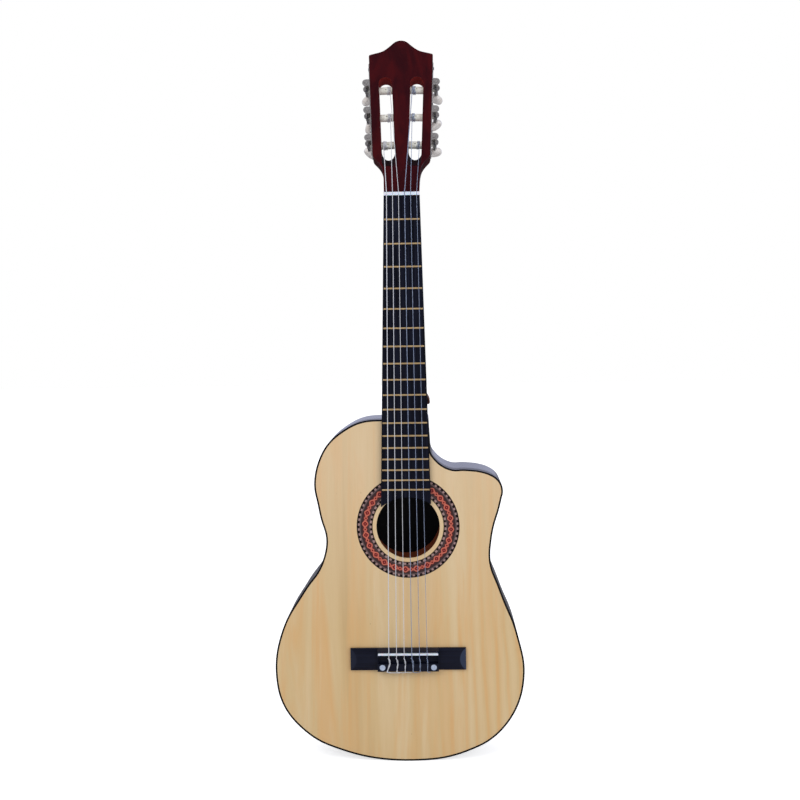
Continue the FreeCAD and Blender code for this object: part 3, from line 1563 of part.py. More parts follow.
def build_string(number):
    """A string, whole: its tie, its free length, its coils round the roller and its end."""
    radius = STRING_RADII[number - 1]
    place = machine_place(number)
    x = string_x(number, size("string_pitch_nut"))
    nut_front = -size("nut_overlap")
    nut_top = point(x, -STRING_REST - radius, nut_front)
    nut_far = point(x, -STRING_REST - radius, size("nut_thickness") + nut_front)
    touch, coils = coil_edges(number, place.inverse().multVec(nut_far))
    for edge in coils:
        edge.Placement = place.multiply(edge.Placement)
    corners = [place.multVec(touch), nut_far, nut_top, saddle_corner(number)] + tie_points(number)
    bend = size("saddle_thickness") / 2 + radius
    fold = tie_loop(number) * FOLD_SHARE
    radii = [bend, bend, bend] + [fold] * (len(corners) - 5)
    edges = rounded_edges(corners, radii) + coils
    path = wire_of(edges)
    end = coils[-1]
    tip = end.valueAt(end.LastParameter)
    ring = Part.Wire(Part.Circle(tip, end.tangentAt(end.LastParameter), float(radius)).toShape())
    tube = path.makePipeShell([ring], True, False)
    expected = pi * float(radius) ** 2 * path.Length
    step = float(radius * 2 + size("coil_gap"))
    print("string", number, "length", round(path.Length, 1), "volume over section times length",
          round(tube.Volume / expected, 4), "gap between coils", round(step - 2 * float(radius), 2),
          "gap at the tie", round(tie_loop(number) - 2 * float(radius), 2))
    return shape("string_" + str(number), tube)


def all_pieces():
    """Every node of the guitar."""
    pieces = [build_neck(), build_heel_cap(), build_fretboard(), build_frets(), build_nut(),
              build_soundboard(), build_rosette(), build_label(), build_bridge(), build_saddle(),
              build_bridge_dots(), build_bridge_bolts(), build_bridge_plate(), build_top_braces(),
              build_back_braces(), build_machine_plate(1), build_machine_plate(-1),
              build_plate_screws(), build_strap_button(), build_strap_screw()]
    pieces += build_box_walls()
    pieces += build_blocks()
    for number in range(1, STRINGS + 1):
        pieces += [build_roller(number), build_gear(number), build_worm_shaft(number),
                   build_button(number), build_string(number)]
    return pieces


def check_document():
    """Stop if any object of the document failed."""
    for item in doc.Objects:
        if "Invalid" in item.State or "Error" in item.State:
            raise RuntimeError("failed: " + item.Label)


def write_pieces(pieces):
    """Write each node to its own file."""
    os.makedirs("parts", exist_ok=True)
    for piece in pieces:
        if piece.Shape.isNull() or not piece.Shape.isValid() or not piece.Shape.Solids:
            raise RuntimeError("no valid solid: " + piece.Label)
    for piece in pieces:
        piece.Shape.exportStep(os.path.join("parts", piece.Label + ".step"))
    print(len(pieces), "nodes written")


nodes = all_pieces()
doc.recompute()
check_document()
write_pieces(nodes)
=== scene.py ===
"""A small nylon-string guitar with a cutaway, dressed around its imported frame."""

from __future__ import annotations

import json
import logging
import math
from dataclasses import dataclass, field
from enum import Enum

import bmesh
import bpy
from mathutils import Matrix, Vector

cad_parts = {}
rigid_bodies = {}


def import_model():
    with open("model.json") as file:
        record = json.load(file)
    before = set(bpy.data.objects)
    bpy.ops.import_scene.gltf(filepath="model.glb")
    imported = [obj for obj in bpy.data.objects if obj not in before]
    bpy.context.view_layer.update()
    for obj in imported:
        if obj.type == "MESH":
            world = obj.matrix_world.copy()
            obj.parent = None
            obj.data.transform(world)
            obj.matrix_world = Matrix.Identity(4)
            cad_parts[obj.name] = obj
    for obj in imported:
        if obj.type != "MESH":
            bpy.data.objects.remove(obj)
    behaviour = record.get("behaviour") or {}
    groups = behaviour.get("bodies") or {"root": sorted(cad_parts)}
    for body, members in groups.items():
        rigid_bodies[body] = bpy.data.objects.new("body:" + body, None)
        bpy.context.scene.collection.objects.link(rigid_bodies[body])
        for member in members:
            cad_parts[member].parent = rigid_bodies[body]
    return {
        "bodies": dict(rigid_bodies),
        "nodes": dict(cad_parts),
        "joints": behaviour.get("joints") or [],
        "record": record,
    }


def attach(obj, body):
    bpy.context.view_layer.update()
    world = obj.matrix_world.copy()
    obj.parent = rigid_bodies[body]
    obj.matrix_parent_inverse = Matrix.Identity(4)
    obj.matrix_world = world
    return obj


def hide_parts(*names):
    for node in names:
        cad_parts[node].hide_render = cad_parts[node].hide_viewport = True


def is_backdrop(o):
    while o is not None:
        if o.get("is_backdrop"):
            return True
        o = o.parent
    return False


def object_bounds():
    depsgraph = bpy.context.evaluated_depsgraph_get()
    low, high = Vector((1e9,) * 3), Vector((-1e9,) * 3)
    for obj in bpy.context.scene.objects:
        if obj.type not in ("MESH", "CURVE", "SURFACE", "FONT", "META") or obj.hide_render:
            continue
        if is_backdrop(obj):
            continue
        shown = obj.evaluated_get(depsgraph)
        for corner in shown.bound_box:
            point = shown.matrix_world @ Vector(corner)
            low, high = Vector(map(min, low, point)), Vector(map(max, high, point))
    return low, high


LOG = logging.getLogger("guitar")
MM = 0.001
ROOT_BODY = "instrument"
HOLE_MM = (2.2, -441.8)
Colour = tuple[float, float, float, float]
Point = tuple[float, float, float]


def srgb(red: int, green: int, blue: int) -> Colour:
    """Turn a screen colour into the linear one that a shader takes.

    Args:
        red: Red, 0 to 255.
        green: Green, 0 to 255.
        blue: Blue, 0 to 255.

    Returns:
        The linear colour with full opacity.
    """
    knee, low_slope, offset, power = 0.04045, 12.92, 0.055, 2.4
    linear = []
    for value in (red / 255, green / 255, blue / 255):
        if value <= knee:
            linear.append(value / low_slope)
        else:
            linear.append(((value + offset) / (1 + offset)) ** power)
    return (*linear, 1.0)


class Passage(Enum):
    """How one colour of a ramp passes into the next."""

    SOFT = "EASE"
    STRAIGHT = "LINEAR"
    STEP = "CONSTANT"


class Nodes:
    """Adds nodes to one tree step by step."""

    def __init__(self, tree: bpy.types.NodeTree) -> None:
        """Take the tree to add to.

        Args:
            tree: The tree.
        """
        self.tree = tree

    def feed(self, socket: bpy.types.NodeSocket, value: object) -> None:
        """Link a socket to another one, or set its value.

        Args:
            socket: The input to feed.
            value: A socket to link from, or a plain value.
        """
        if isinstance(value, bpy.types.NodeSocket):
            self.tree.links.new(value, socket)
        else:
            socket.default_value = value

    def node(self, kind: str, inputs: dict[str | int, object] | None = None,
             **settings: object) -> bpy.types.Node:
        """Add a node.

        Args:
            kind: The node's type.
            inputs: Values or sockets for its inputs.
            **settings: Its other settings.

        Returns:
            The new node.
        """
        made = self.tree.nodes.new(kind)
        for key, value in settings.items():
            setattr(made, key, value)
        for key, value in (inputs or {}).items():
            self.feed(made.inputs[key], value)
        return made

    def place(self, scale: Point = (1, 1, 1), turn: Point = (0, 0, 0),
              shift: Point = (0, 0, 0)) -> bpy.types.NodeSocket:
        """Give object coordinates, scaled, turned and moved.

        Args:
            scale: The scale along each axis.
            turn: Turns about the axes in radians.
            shift: The move, made after the scale.

        Returns:
            The vector socket.
        """
        coords = self.node("ShaderNodeTexCoord")
        mapping = self.node("ShaderNodeMapping", {
            "Vector": coords.outputs["Object"], "Scale": scale, "Rotation": turn,
            "Location": shift})
        return mapping.outputs["Vector"]

    def axes(self) -> bpy.types.NodeOutputs:
        """Give the object coordinates one by one, as X, Y and Z."""
        return self.node("ShaderNodeSeparateXYZ", {"Vector": self.place()}).outputs

    def noise(self, scale: Point, detail: float = 3, roughness: float = 0.5,
              distortion: float = 0, shift: Point = (0, 0, 0)) -> bpy.types.NodeSocket:
        """Give noise whose grain may be drawn out along an axis.

        Args:
            scale: How many grains there are in a metre along each axis.
            detail: How many finer layers are added.
            roughness: How strong the finer layers are.
            distortion: How far the noise bends itself.
            shift: The pattern's move.

        Returns:
            The value socket, about 0 to 1.
        """
        texture = self.node("ShaderNodeTexNoise", {
            "Vector": self.place(scale, shift=shift), "Scale": 1.0, "Detail": detail,
            "Roughness": roughness, "Distortion": distortion})
        return texture.outputs["Fac"]

    def ramp(self, factor: bpy.types.NodeSocket, stops: list[tuple[float, Colour]],
             passage: Passage = Passage.SOFT) -> bpy.types.NodeSocket:
        """Turn a value into a colour.

        Args:
            factor: The value.
            stops: Places from 0 to 1, each with its colour.
            passage: How the colours pass into one another.

        Returns:
            The colour socket.
        """
        made = self.node("ShaderNodeValToRGB", {"Fac": factor})
        band = made.color_ramp
        band.interpolation = passage.value
        while len(band.elements) < len(stops):
            band.elements.new(1.0)
        for element, (place, colour) in zip(band.elements, stops):
            element.position = place
            element.color = colour
        return made.outputs["Color"]

    def level(self, factor: bpy.types.NodeSocket, low: float, high: float,
              start: float = 0.0, end: float = 1.0) -> bpy.types.NodeSocket:
        """Stretch a value's range.

        Args:
            factor: The value.
            low: The value that gives start.
            high: The value that gives end.
            start: The lowest result.
            end: The highest result.

        Returns:
            The value socket.
        """
        made = self.node("ShaderNodeMapRange", {
            "Value": factor, "From Min": low, "From Max": high, "To Min": start,
            "To Max": end}, clamp=True)
        return made.outputs["Result"]

    def sum(self, kind: str, first: object, second: object = 0.0) -> bpy.types.NodeSocket:
        """Do one sum with two values.

        Args:
            kind: The sum, such as MULTIPLY.
            first: A value or a socket.
            second: A value or a socket.

        Returns:
            The value socket.
        """
        return self.node("ShaderNodeMath", {0: first, 1: second}, operation=kind).outputs[0]

    def between(self, value: bpy.types.NodeSocket, low_mm: float,
                high_mm: float) -> bpy.types.NodeSocket:
        """Tell whether a length lies between two others.

        Args:
            value: The length in metres.
            low_mm: The lower bound.
            high_mm: The upper bound.

        Returns:
            The socket, 1 between them and 0 elsewhere.
        """
        edge = 0.1
        return self.sum(
            "MULTIPLY", self.level(value, (low_mm - edge) * MM, (low_mm + edge) * MM),
            self.level(value, (high_mm + edge) * MM, (high_mm - edge) * MM))

    def mix(self, factor: object, first: object, second: object) -> bpy.types.NodeSocket:
        """Mix two colours.

        Args:
            factor: The share of the second one.
            first: A colour or a socket.
            second: A colour or a socket.

        Returns:
            The colour socket.
        """
        first_input, second_input, result = 6, 7, 2
        made = self.node("ShaderNodeMix", {0: factor, first_input: first, second_input: second},
                         data_type="RGBA")
        return made.outputs[result]


class Recipe(Nodes):
    """Builds one node material."""

    def __init__(self, name: str) -> None:
        """Start a material with one principled shader.

        Args:
            name: The material's name.
        """
        self.material = bpy.data.materials.new(name)
        self.material.use_nodes = True
        super().__init__(self.material.node_tree)
        self.shader = self.tree.nodes["Principled BSDF"]

    def bump(self, height: bpy.types.NodeSocket, depth_mm: float,
             strength: float = 1.0) -> None:
        """Let a value raise the surface.

        Args:
            height: The value, 0 to 1.
            depth_mm: How much a value of 1 raises it.
            strength: How strongly that shows.
        """
        made = self.node("ShaderNodeBump", {
            "Height": height, "Distance": depth_mm * MM, "Strength": strength})
        self.feed(self.shader.inputs["Normal"], made.outputs["Normal"])

    def surface(self, **values: object) -> bpy.types.Material:
        """Set the shader's inputs, with underscores for spaces.

        Args:
            **values: A value or a socket for each input.

        Returns:
            The material.
        """
        for key, value in values.items():
            self.feed(self.shader.inputs[key.replace("_", " ")], value)
        return self.material


@dataclass(frozen=True)
class Finish:
    """A finish with its slot in the record."""

    name: str
    slot: str

    def mix_up(self) -> bpy.types.Material:
        """Build the material."""
        raise NotImplementedError

    @property
    def title(self) -> str:
        """Name the material apart from the plain ones that the frame brings."""
        return f"{self.name}_finish"

    def material(self) -> bpy.types.Material:
        """Give the material, built on its first use."""
        return bpy.data.materials.get(self.title) or self.mix_up()


@dataclass(frozen=True)
class TopWood(Finish):
    """The pale lacquered top with upright grain and warm streaks."""

    light: Colour = srgb(216, 190, 146)
    middle: Colour = srgb(210, 181, 132)
    warm: Colour = srgb(215, 170, 112)
    deep: Colour = srgb(199, 167, 117)
    pale: Colour = srgb(228, 203, 170)

    def mix_up(self) -> bpy.types.Material:
        """Build the material."""
        recipe = Recipe(self.title)
        broad = recipe.noise((24, 24, 1.3), detail=4, roughness=0.55, distortion=0.5)
        colour = recipe.ramp(broad, [(0.32, self.deep), (0.47, self.middle),
                                     (0.62, self.light)])
        streaks = recipe.noise((40, 40, 2.6), detail=4, roughness=0.58, distortion=1.1,
                               shift=(3.1, 0, 5.2))
        colour = recipe.mix(recipe.level(streaks, 0.46, 0.68, 0, 0.9), colour, self.warm)
        figure = recipe.node("ShaderNodeTexWave", {
            "Vector": recipe.place((20, 20, 5), turn=(0, 0.14, 0)), "Scale": 1.0,
            "Distortion": 8, "Detail": 3, "Detail Scale": 0.6},
            wave_type="BANDS", bands_direction="X").outputs["Fac"]
        side = recipe.axes()
        across = recipe.level(side["X"], 0.0, 0.1, 0.05, 1.0)
        low = recipe.level(side["Z"], -0.5, -0.64, 0.3, 1.0)
        share = recipe.sum("MULTIPLY", across, low)
        figured = recipe.ramp(figure, [(0.0, self.warm), (0.3, self.middle), (1.0, self.light)])
        colour = recipe.mix(recipe.sum("MULTIPLY", share, 0.6), colour, figured)
        upper = recipe.level(side["Z"], -0.58, -0.36, 0, 0.42)
        colour = recipe.mix(upper, colour, self.pale)
        fibres = recipe.noise((700, 700, 22), detail=3, roughness=0.6)
        colour = recipe.mix(recipe.level(fibres, 0.42, 0.75, 0, 0.16), colour, self.deep)
        specks = recipe.noise((210, 210, 120), detail=0, shift=(7, 1, 2))
        colour = recipe.mix(recipe.level(specks, 0.86, 0.9, 0, 0.55), colour,
                            srgb(150, 116, 76))
        recipe.bump(fibres, 0.02, 0.4)
        return recipe.surface(Base_Color=colour, Roughness=0.4, Coat_Weight=0.35,
                              Coat_Roughness=0.12)


@dataclass(frozen=True)
class LacqueredWood(Finish):
    """Stained wood under high gloss lacquer, with its grain along Z."""

    light: Colour
    dark: Colour
    stretch: Point = (55, 55, 3.2)
    gloss: float = 0.1
    coat: float = 1.0
    shine: float = 0.5
    rough: float = 0.36

    def stain(self, recipe: Recipe) -> bpy.types.NodeSocket:
        """Give the stained grain, and let the lacquer ripple.

        Args:
            recipe: The material's recipe.

        Returns:
            The colour socket.
        """
        broad = recipe.noise(self.stretch, detail=4, roughness=0.6, distortion=0.8)
        colour = recipe.ramp(broad, [(0.34, self.dark), (0.68, self.light)])
        pore_scale = tuple(value * 9 for value in self.stretch)
        pores = recipe.noise(pore_scale, detail=2, roughness=0.7)
        colour = recipe.mix(recipe.level(pores, 0.55, 0.8, 0, 0.4), colour, self.dark)
        ripple = recipe.noise((30, 30, 30), detail=1)
        recipe.bump(ripple, 0.05, 0.25)
        return colour

    def lacquered(self, recipe: Recipe, colour: bpy.types.NodeSocket,
                  rough: object) -> bpy.types.Material:
        """Finish the material.

        Args:
            recipe: The material's recipe.
            colour: The colour under the lacquer.
            rough: The roughness, a value or a socket.

        Returns:
            The material.
        """
        return recipe.surface(Base_Color=colour, Roughness=rough, Coat_Weight=self.coat,
                              Coat_Roughness=self.gloss, Specular_IOR_Level=self.shine)

    def mix_up(self) -> bpy.types.Material:
        """Build the material."""
        recipe = Recipe(self.title)
        return self.lacquered(recipe, self.stain(recipe), self.rough)


@dataclass(frozen=True)
class SideWood(LacqueredWood):
    """The walls' wood, glossier away from the edge of the top."""

    dull: float = 0.5
    near_mm: float = 3.0
    far_mm: float = 22.0

    def mix_up(self) -> bpy.types.Material:
        """Build the material."""
        recipe = Recipe(self.title)
        rough = recipe.level(recipe.axes()["Y"], self.near_mm * MM, self.far_mm * MM, self.dull,
                             self.rough)
        return self.lacquered(recipe, self.stain(recipe), rough)


@dataclass(frozen=True)
class BackWood(LacqueredWood):
    """The back plate's wood, lacquered outside and bare inside."""

    bare: Colour = srgb(146, 72, 42)
    inside_mm: float = 75.7
    bare_rough: float = 0.8

    def mix_up(self) -> bpy.types.Material:
        """Build the material."""
        recipe = Recipe(self.title)
        edge = 0.1
        inside = recipe.level(recipe.axes()["Y"], (self.inside_mm + edge) * MM,
                              (self.inside_mm - edge) * MM)
        colour = recipe.mix(inside, self.stain(recipe), self.bare)
        rough = recipe.level(inside, 0, 1, self.rough, self.bare_rough)
        return self.lacquered(recipe, colour, rough)


@dataclass(frozen=True)
class NeckWood(LacqueredWood):
    """The neck's red wood, duller and lighter on the walls of the head's slots, with painted shade
    on the slots' lower ends.

    Attributes:
        walls: The walls' colour.
        ramp_shade: Painted shade, the dark colour of the slots' lower ends where they lie in
            shadow.
        ramp_mm: Where the ramps pass into the walls.
        wall_rough: The walls' roughness.
        tilt: The head's tilt in degrees.
        start_mm: Where the head's face starts.
        depth_mm: The walls' reach behind the head's face.
        half_width_mm: The walls' reach to the sides at the head's foot.
        widening: How much it grows with the height.
        height_mm: The walls' reach along the neck.
        matt_mm: Where the matt edges of the head start.
    """

    walls: Colour = srgb(116, 26, 24)
    ramp_shade: Colour = srgb(38, 14, 18)
    ramp_mm: tuple[float, float] = (62.0, 70.0)
    wall_rough: float = 0.85
    tilt: float = 16.0
    start_mm: float = 4.5
    depth_mm: tuple[float, float] = (0.4, 21.6)
    half_width_mm: float = 27.0
    widening: float = 0.025
    height_mm: tuple[float, float] = (33.5, 174.0)
    matt_mm: float = 12.0

    def mix_up(self) -> bpy.types.Material:
        """Build the material."""
        recipe = Recipe(self.title)
        tilt = math.radians(self.tilt)
        straight = recipe.place(shift=(0, 0, -self.start_mm * MM))
        depth = recipe.node("ShaderNodeVectorMath", {
            0: straight, 1: (0, math.cos(tilt), -math.sin(tilt))}, operation="DOT_PRODUCT")
        parts = recipe.axes()
        height = parts["Z"]
        aside = recipe.sum("SUBTRACT", recipe.sum("ABSOLUTE", parts["X"]),
                           recipe.sum("MULTIPLY", height, self.widening))
        edge = recipe.sum(
            "MULTIPLY", recipe.between(depth.outputs["Value"], *self.depth_mm),
            recipe.level(height, self.matt_mm * MM, self.matt_mm * 2 * MM))
        wall = recipe.sum(
            "MULTIPLY", recipe.between(aside, -self.half_width_mm, self.half_width_mm),
            recipe.sum("MULTIPLY", edge, recipe.between(height, *self.height_mm)))
        low, high = self.ramp_mm
        above = recipe.level(height, low * MM, high * MM)
        # Painted shade: the ramps at the slots' lower ends get a dark colour, and the walls above
        # them get the lighter wall colour.
        colour = recipe.mix(wall, self.stain(recipe), recipe.mix(above, self.ramp_shade, self.walls))
        rough = recipe.level(edge, 0, 1, self.rough, self.wall_rough)
        made = self.lacquered(recipe, colour, rough)
        recipe.surface(Coat_Weight=recipe.level(edge, 0, 1, self.coat, 0))
        return made


@dataclass(frozen=True)
class BareWood(Finish):
    """Sanded wood inside the box."""

    light: Colour = srgb(124, 58, 36)
    dark: Colour = srgb(84, 34, 22)

    def mix_up(self) -> bpy.types.Material:
        """Build the material."""
        recipe = Recipe(self.title)
        grain = recipe.noise((90, 90, 9), detail=5, roughness=0.6, distortion=0.5)
        colour = recipe.ramp(grain, [(0.3, self.dark), (0.7, self.light)])
        fine = recipe.noise((700, 700, 700), detail=2)
        recipe.bump(fine, 0.05, 0.6)
        return recipe.surface(Base_Color=colour, Roughness=0.75)


@dataclass(frozen=True)
class BoardWood(Finish):
    """The blue-black stained wood of the fretboard and the bridge."""

    light: Colour = srgb(22, 25, 42)
    dark: Colour = srgb(10, 11, 20)
    stretch: Point = (420, 420, 9)
    sheen: float = 0.42
    shine: float = 0.14

    def painted_highlight(self, recipe: Recipe, colour: bpy.types.NodeSocket) -> bpy.types.NodeSocket:
        """Paint highlights in some places, here in none.

        Args:
            recipe: The material's recipe.
            colour: The wood's colour.

        Returns:
            The colour socket.
        """
        return colour

    def mix_up(self) -> bpy.types.Material:
        """Build the material."""
        recipe = Recipe(self.title)
        grain = recipe.noise(self.stretch, detail=4, roughness=0.65)
        colour = recipe.ramp(grain, [(0.32, self.dark), (0.7, self.light)])
        rough = recipe.level(grain, 0.3, 0.75, self.sheen, self.sheen + 0.14)
        recipe.bump(grain, 0.04, 0.5)
        return recipe.surface(Base_Color=self.painted_highlight(recipe, colour), Roughness=rough,
                              Specular_IOR_Level=self.shine)


@dataclass(frozen=True)
class BridgeWood(BoardWood):
    """The bridge's wood, with a painted highlight where the wings' ends are scooped off.

    Attributes:
        scoop_highlight: The painted highlight on the two scoops, first the bass one.
        scoop_mm: The scoops' place, aside and along.
        scoop_radius_mm: Their radius.
    """

    scoop_highlight: tuple[Colour, Colour] = (srgb(29, 33, 50), srgb(46, 55, 76))
    scoop_mm: tuple[float, float] = (86.5, -618.7)
    scoop_radius_mm: float = 17.5

    def painted_highlight(self, recipe: Recipe, colour: bpy.types.NodeSocket) -> bpy.types.NodeSocket:
        """Make the scoops paler with a painted highlight.

        Args:
            recipe: The material's recipe.
            colour: The wood's colour.

        Returns:
            The colour socket.
        """
        aside, along = self.scoop_mm
        # Painted highlight: each scoop's sloped face gets a paler, bluer colour, and the treble
        # one is the paler.
        for side, paler in zip((-1, 1), self.scoop_highlight):
            flat = recipe.place((1, 0, 1), shift=(-aside * side * MM, 0, -along * MM))
            reach = recipe.node("ShaderNodeVectorMath", {0: flat}, operation="LENGTH")
            inside = recipe.level(reach.outputs["Value"], (self.scoop_radius_mm + 0.2) * MM,
                                  (self.scoop_radius_mm - 0.2) * MM)
            colour = recipe.mix(inside, colour, paler)
        return colour


@dataclass(frozen=True)
class Plastic(Finish):
    """Moulded or ground plastic, bone or paper of one colour, a little clouded."""

    colour: Colour
    cloud: Colour
    rough: float = 0.3
    grain: float = 160.0
    glow: float = 0.0
    clear: float = 0.0
    shine: float = 0.5

    def mix_up(self) -> bpy.types.Material:
        """Build the material."""
        recipe = Recipe(self.title)
        cloud = recipe.noise((self.grain,) * 3, detail=3, roughness=0.6)
        colour = recipe.ramp(cloud, [(0.35, self.colour), (0.7, self.cloud)])
        fine = recipe.noise((self.grain * 9,) * 3, detail=2)
        recipe.bump(fine, 0.01, 0.3)
        return recipe.surface(Base_Color=colour, Roughness=self.rough,
                              Subsurface_Weight=self.glow, Subsurface_Scale=2 * MM,
                              Transmission_Weight=self.clear,
                              Specular_IOR_Level=self.shine)


@dataclass(frozen=True)
class Pearl(Finish):
    """Pearl plastic with soft swirled bands."""

    light: Colour = srgb(242, 237, 232)
    middle: Colour = srgb(229, 222, 215)
    shade: Colour = srgb(205, 194, 186)
    swirl: float = 90.0

    def mix_up(self) -> bpy.types.Material:
        """Build the material."""
        recipe = Recipe(self.title)
        swirl = recipe.noise((self.swirl, self.swirl, self.swirl * 0.5), detail=4,
                             roughness=0.55, distortion=2.4)
        colour = recipe.ramp(swirl, [(0.3, self.shade), (0.48, self.middle), (0.64, self.light)])
        return recipe.surface(Base_Color=colour, Roughness=0.22, Coat_Weight=0.6,
                              Coat_Roughness=0.06)


@dataclass(frozen=True)
class Metal(Finish):
    """Plated, brushed or polished metal."""

    colour: Colour
    tarnish: Colour
    rough: float = 0.25
    spread: float = 0.12
    stretch: Point = (900, 900, 90)
    metallic: float = 1.0

    def mix_up(self) -> bpy.types.Material:
        """Build the material."""
        recipe = Recipe(self.title)
        brushed = recipe.noise(self.stretch, detail=2, roughness=0.6)
        dull = recipe.noise((70, 70, 70), detail=3, roughness=0.6)
        colour = recipe.mix(recipe.level(dull, 0.45, 0.75, 0, 0.6), self.colour, self.tarnish)
        rough = recipe.level(brushed, 0.3, 0.7, self.rough, self.rough + self.spread)
        recipe.bump(brushed, 0.01, 0.3)
        return recipe.surface(Base_Color=colour, Roughness=rough, Metallic=self.metallic)


@dataclass(frozen=True)
class WoundWire(Finish):
    """Silver-plated winding, one fine ring after the other along Z, with painted shade in the
    grooves between the rings.
    """

    colour: Colour = srgb(234, 236, 242)
    groove_shade: Colour = srgb(166, 168, 180)
    rings_in_a_metre: float = 1317.85

    def mix_up(self) -> bpy.types.Material:
        """Build the material."""
        recipe = Recipe(self.title)
        bands_in_a_unit = 20 / math.tau
        rings = recipe.node("ShaderNodeTexWave", {
            "Vector": recipe.place((1, 1, self.rings_in_a_metre / bands_in_a_unit)),
            "Scale": 1.0, "Distortion": 0.3, "Detail": 1.0},
            wave_type="BANDS", bands_direction="Z").outputs["Fac"]
        # Painted shade: the grooves between the rings get a darker grey than the wire.
        colour = recipe.mix(recipe.level(rings, 0.0, 0.35), self.groove_shade, self.colour)
        recipe.bump(rings, 0.05, 0.4)
        return recipe.surface(Base_Color=colour, Roughness=0.32, Metallic=0.25)


@dataclass(frozen=True)
class MosaicGround(Finish):
    """The ring's thin veneer lines under its inlaid tiles, set by the distance from the centre."""

    centre_mm: tuple[float, float] = HOLE_MM
    reach_mm: float = 80.0
    lines_mm: tuple[tuple[float, Colour], ...] = (
        (0.0, srgb(66, 48, 26)), (48.0, srgb(70, 50, 47)), (50.8, srgb(98, 78, 78)),
        (51.5, srgb(52, 32, 30)), (52.4, srgb(78, 58, 56)), (53.4, srgb(74, 24, 24)),
        (61.2, srgb(50, 28, 28)), (62.5, srgb(66, 46, 44)), (63.2, srgb(104, 84, 86)),
        (64.3, srgb(66, 46, 46)), (68.0, srgb(48, 32, 20)),
    )

    def mix_up(self) -> bpy.types.Material:
        """Build the material."""
        recipe = Recipe(self.title)
        across, along = self.centre_mm
        flat = recipe.place((1, 0, 1), shift=(-across * MM, 0, -along * MM))
        reach = recipe.node("ShaderNodeVectorMath", {0: flat}, operation="LENGTH")
        share = recipe.sum("DIVIDE", reach.outputs["Value"], self.reach_mm * MM)
        stops = [(radius / self.reach_mm, colour) for radius, colour in self.lines_mm]
        colour = recipe.ramp(share, stops, Passage.STEP)
        fibre = recipe.noise((800, 800, 800), detail=2)
        colour = recipe.mix(recipe.level(fibre, 0.4, 0.8, 0, 0.35), colour,
                            srgb(46, 30, 28))
        return recipe.surface(Base_Color=colour, Roughness=0.34, Coat_Weight=0.5,
                              Coat_Roughness=0.12)


class Palette(Enum):
    """Every finish of the guitar."""

    TOP = TopWood("top_wood", "spruce_top")
    BODY = SideWood("body_lacquer", "body_lacquer", srgb(38, 15, 15), srgb(16, 8, 10),
                    coat=0.0, rough=0.18)
    BACK = BackWood("back_lacquer", "body_lacquer", srgb(44, 17, 16), srgb(20, 9, 10),
                    coat=0.0, rough=0.16)
    NECK = NeckWood("neck_lacquer", "neck_lacquer", srgb(66, 10, 14), srgb(46, 7, 13),
                    coat=0.25, shine=0.14, rough=0.3)
    TRIM = Plastic("black_trim", "black_trim", srgb(14, 12, 16), srgb(8, 7, 10), rough=0.24,
                   shine=0.25)
    BOARD = BoardWood("board_wood", "dark_board")
    BRIDGE = BridgeWood("bridge_wood", "dark_board", srgb(19, 23, 42), srgb(11, 13, 28),
                        stretch=(14, 600, 600), sheen=0.34, shine=0.3)
    INSIDE = BareWood("inside_wood", "inner_wood")
    MOSAIC = MosaicGround("mosaic_ground", "mosaic_ring")
    CORAL = Plastic("tile_coral", "mosaic_ring", srgb(200, 104, 84), srgb(178, 86, 68),
                    rough=0.32, grain=700)
    WINE = Plastic("tile_wine", "mosaic_ring", srgb(110, 8, 12), srgb(88, 5, 9),
                   rough=0.32, grain=700, shine=0.3)
    ROSE = Plastic("tile_rose", "mosaic_ring", srgb(176, 84, 80), srgb(158, 68, 66),
                   rough=0.32, grain=700)
    JET = Plastic("tile_jet", "mosaic_ring", srgb(18, 5, 6), srgb(10, 3, 4),
                  rough=0.32, grain=700, shine=0.2)
    MAUVE = Plastic("tile_mauve", "mosaic_ring", srgb(166, 134, 129), srgb(144, 115, 112),
                    rough=0.32, grain=700)
    BONE = Plastic("bone_white", "bone_white", srgb(220, 228, 240), srgb(209, 217, 230),
                   rough=0.28, glow=0.2)
    ROLLER = Plastic("roller_white", "roller_white", srgb(232, 231, 222), srgb(208, 206, 194),
                     rough=0.3, grain=200)
    PEARL = Pearl("pearl_plastic", "pearl_button")
    DOT = Pearl("dot_pearl", "dot_pearl", srgb(176, 188, 208), srgb(164, 176, 198),
                srgb(142, 154, 180), swirl=300)
    NICKEL = Metal("plate_nickel", "plate_nickel", srgb(204, 199, 194), srgb(160, 154, 149),
                   rough=0.24, metallic=0.7)
    GEAR = Metal("gear_steel", "gear_steel", srgb(176, 172, 168), srgb(112, 104, 96),
                 rough=0.32)
    FRET = Metal("fret_brass", "fret_brass", srgb(234, 200, 146), srgb(204, 166, 112),
                 rough=0.34, spread=0.08, metallic=0.6)
    STEEL = Metal("screw_steel", "screw_steel", srgb(186, 186, 190), srgb(120, 118, 118),
                  rough=0.28)
    WOUND = WoundWire("wound_wire", "wound_wire")
    NYLON = Plastic("clear_nylon", "clear_nylon", srgb(190, 204, 232), srgb(176, 192, 224),
                    rough=0.16, clear=0.6)
    LABEL = Plastic("label_paper", "paper_label", srgb(17, 15, 18), srgb(11, 10, 12),
                    rough=0.7, grain=500)
    STRAP = LacqueredWood("strap_brown", "strap_brown", srgb(110, 66, 54), srgb(76, 40, 36))


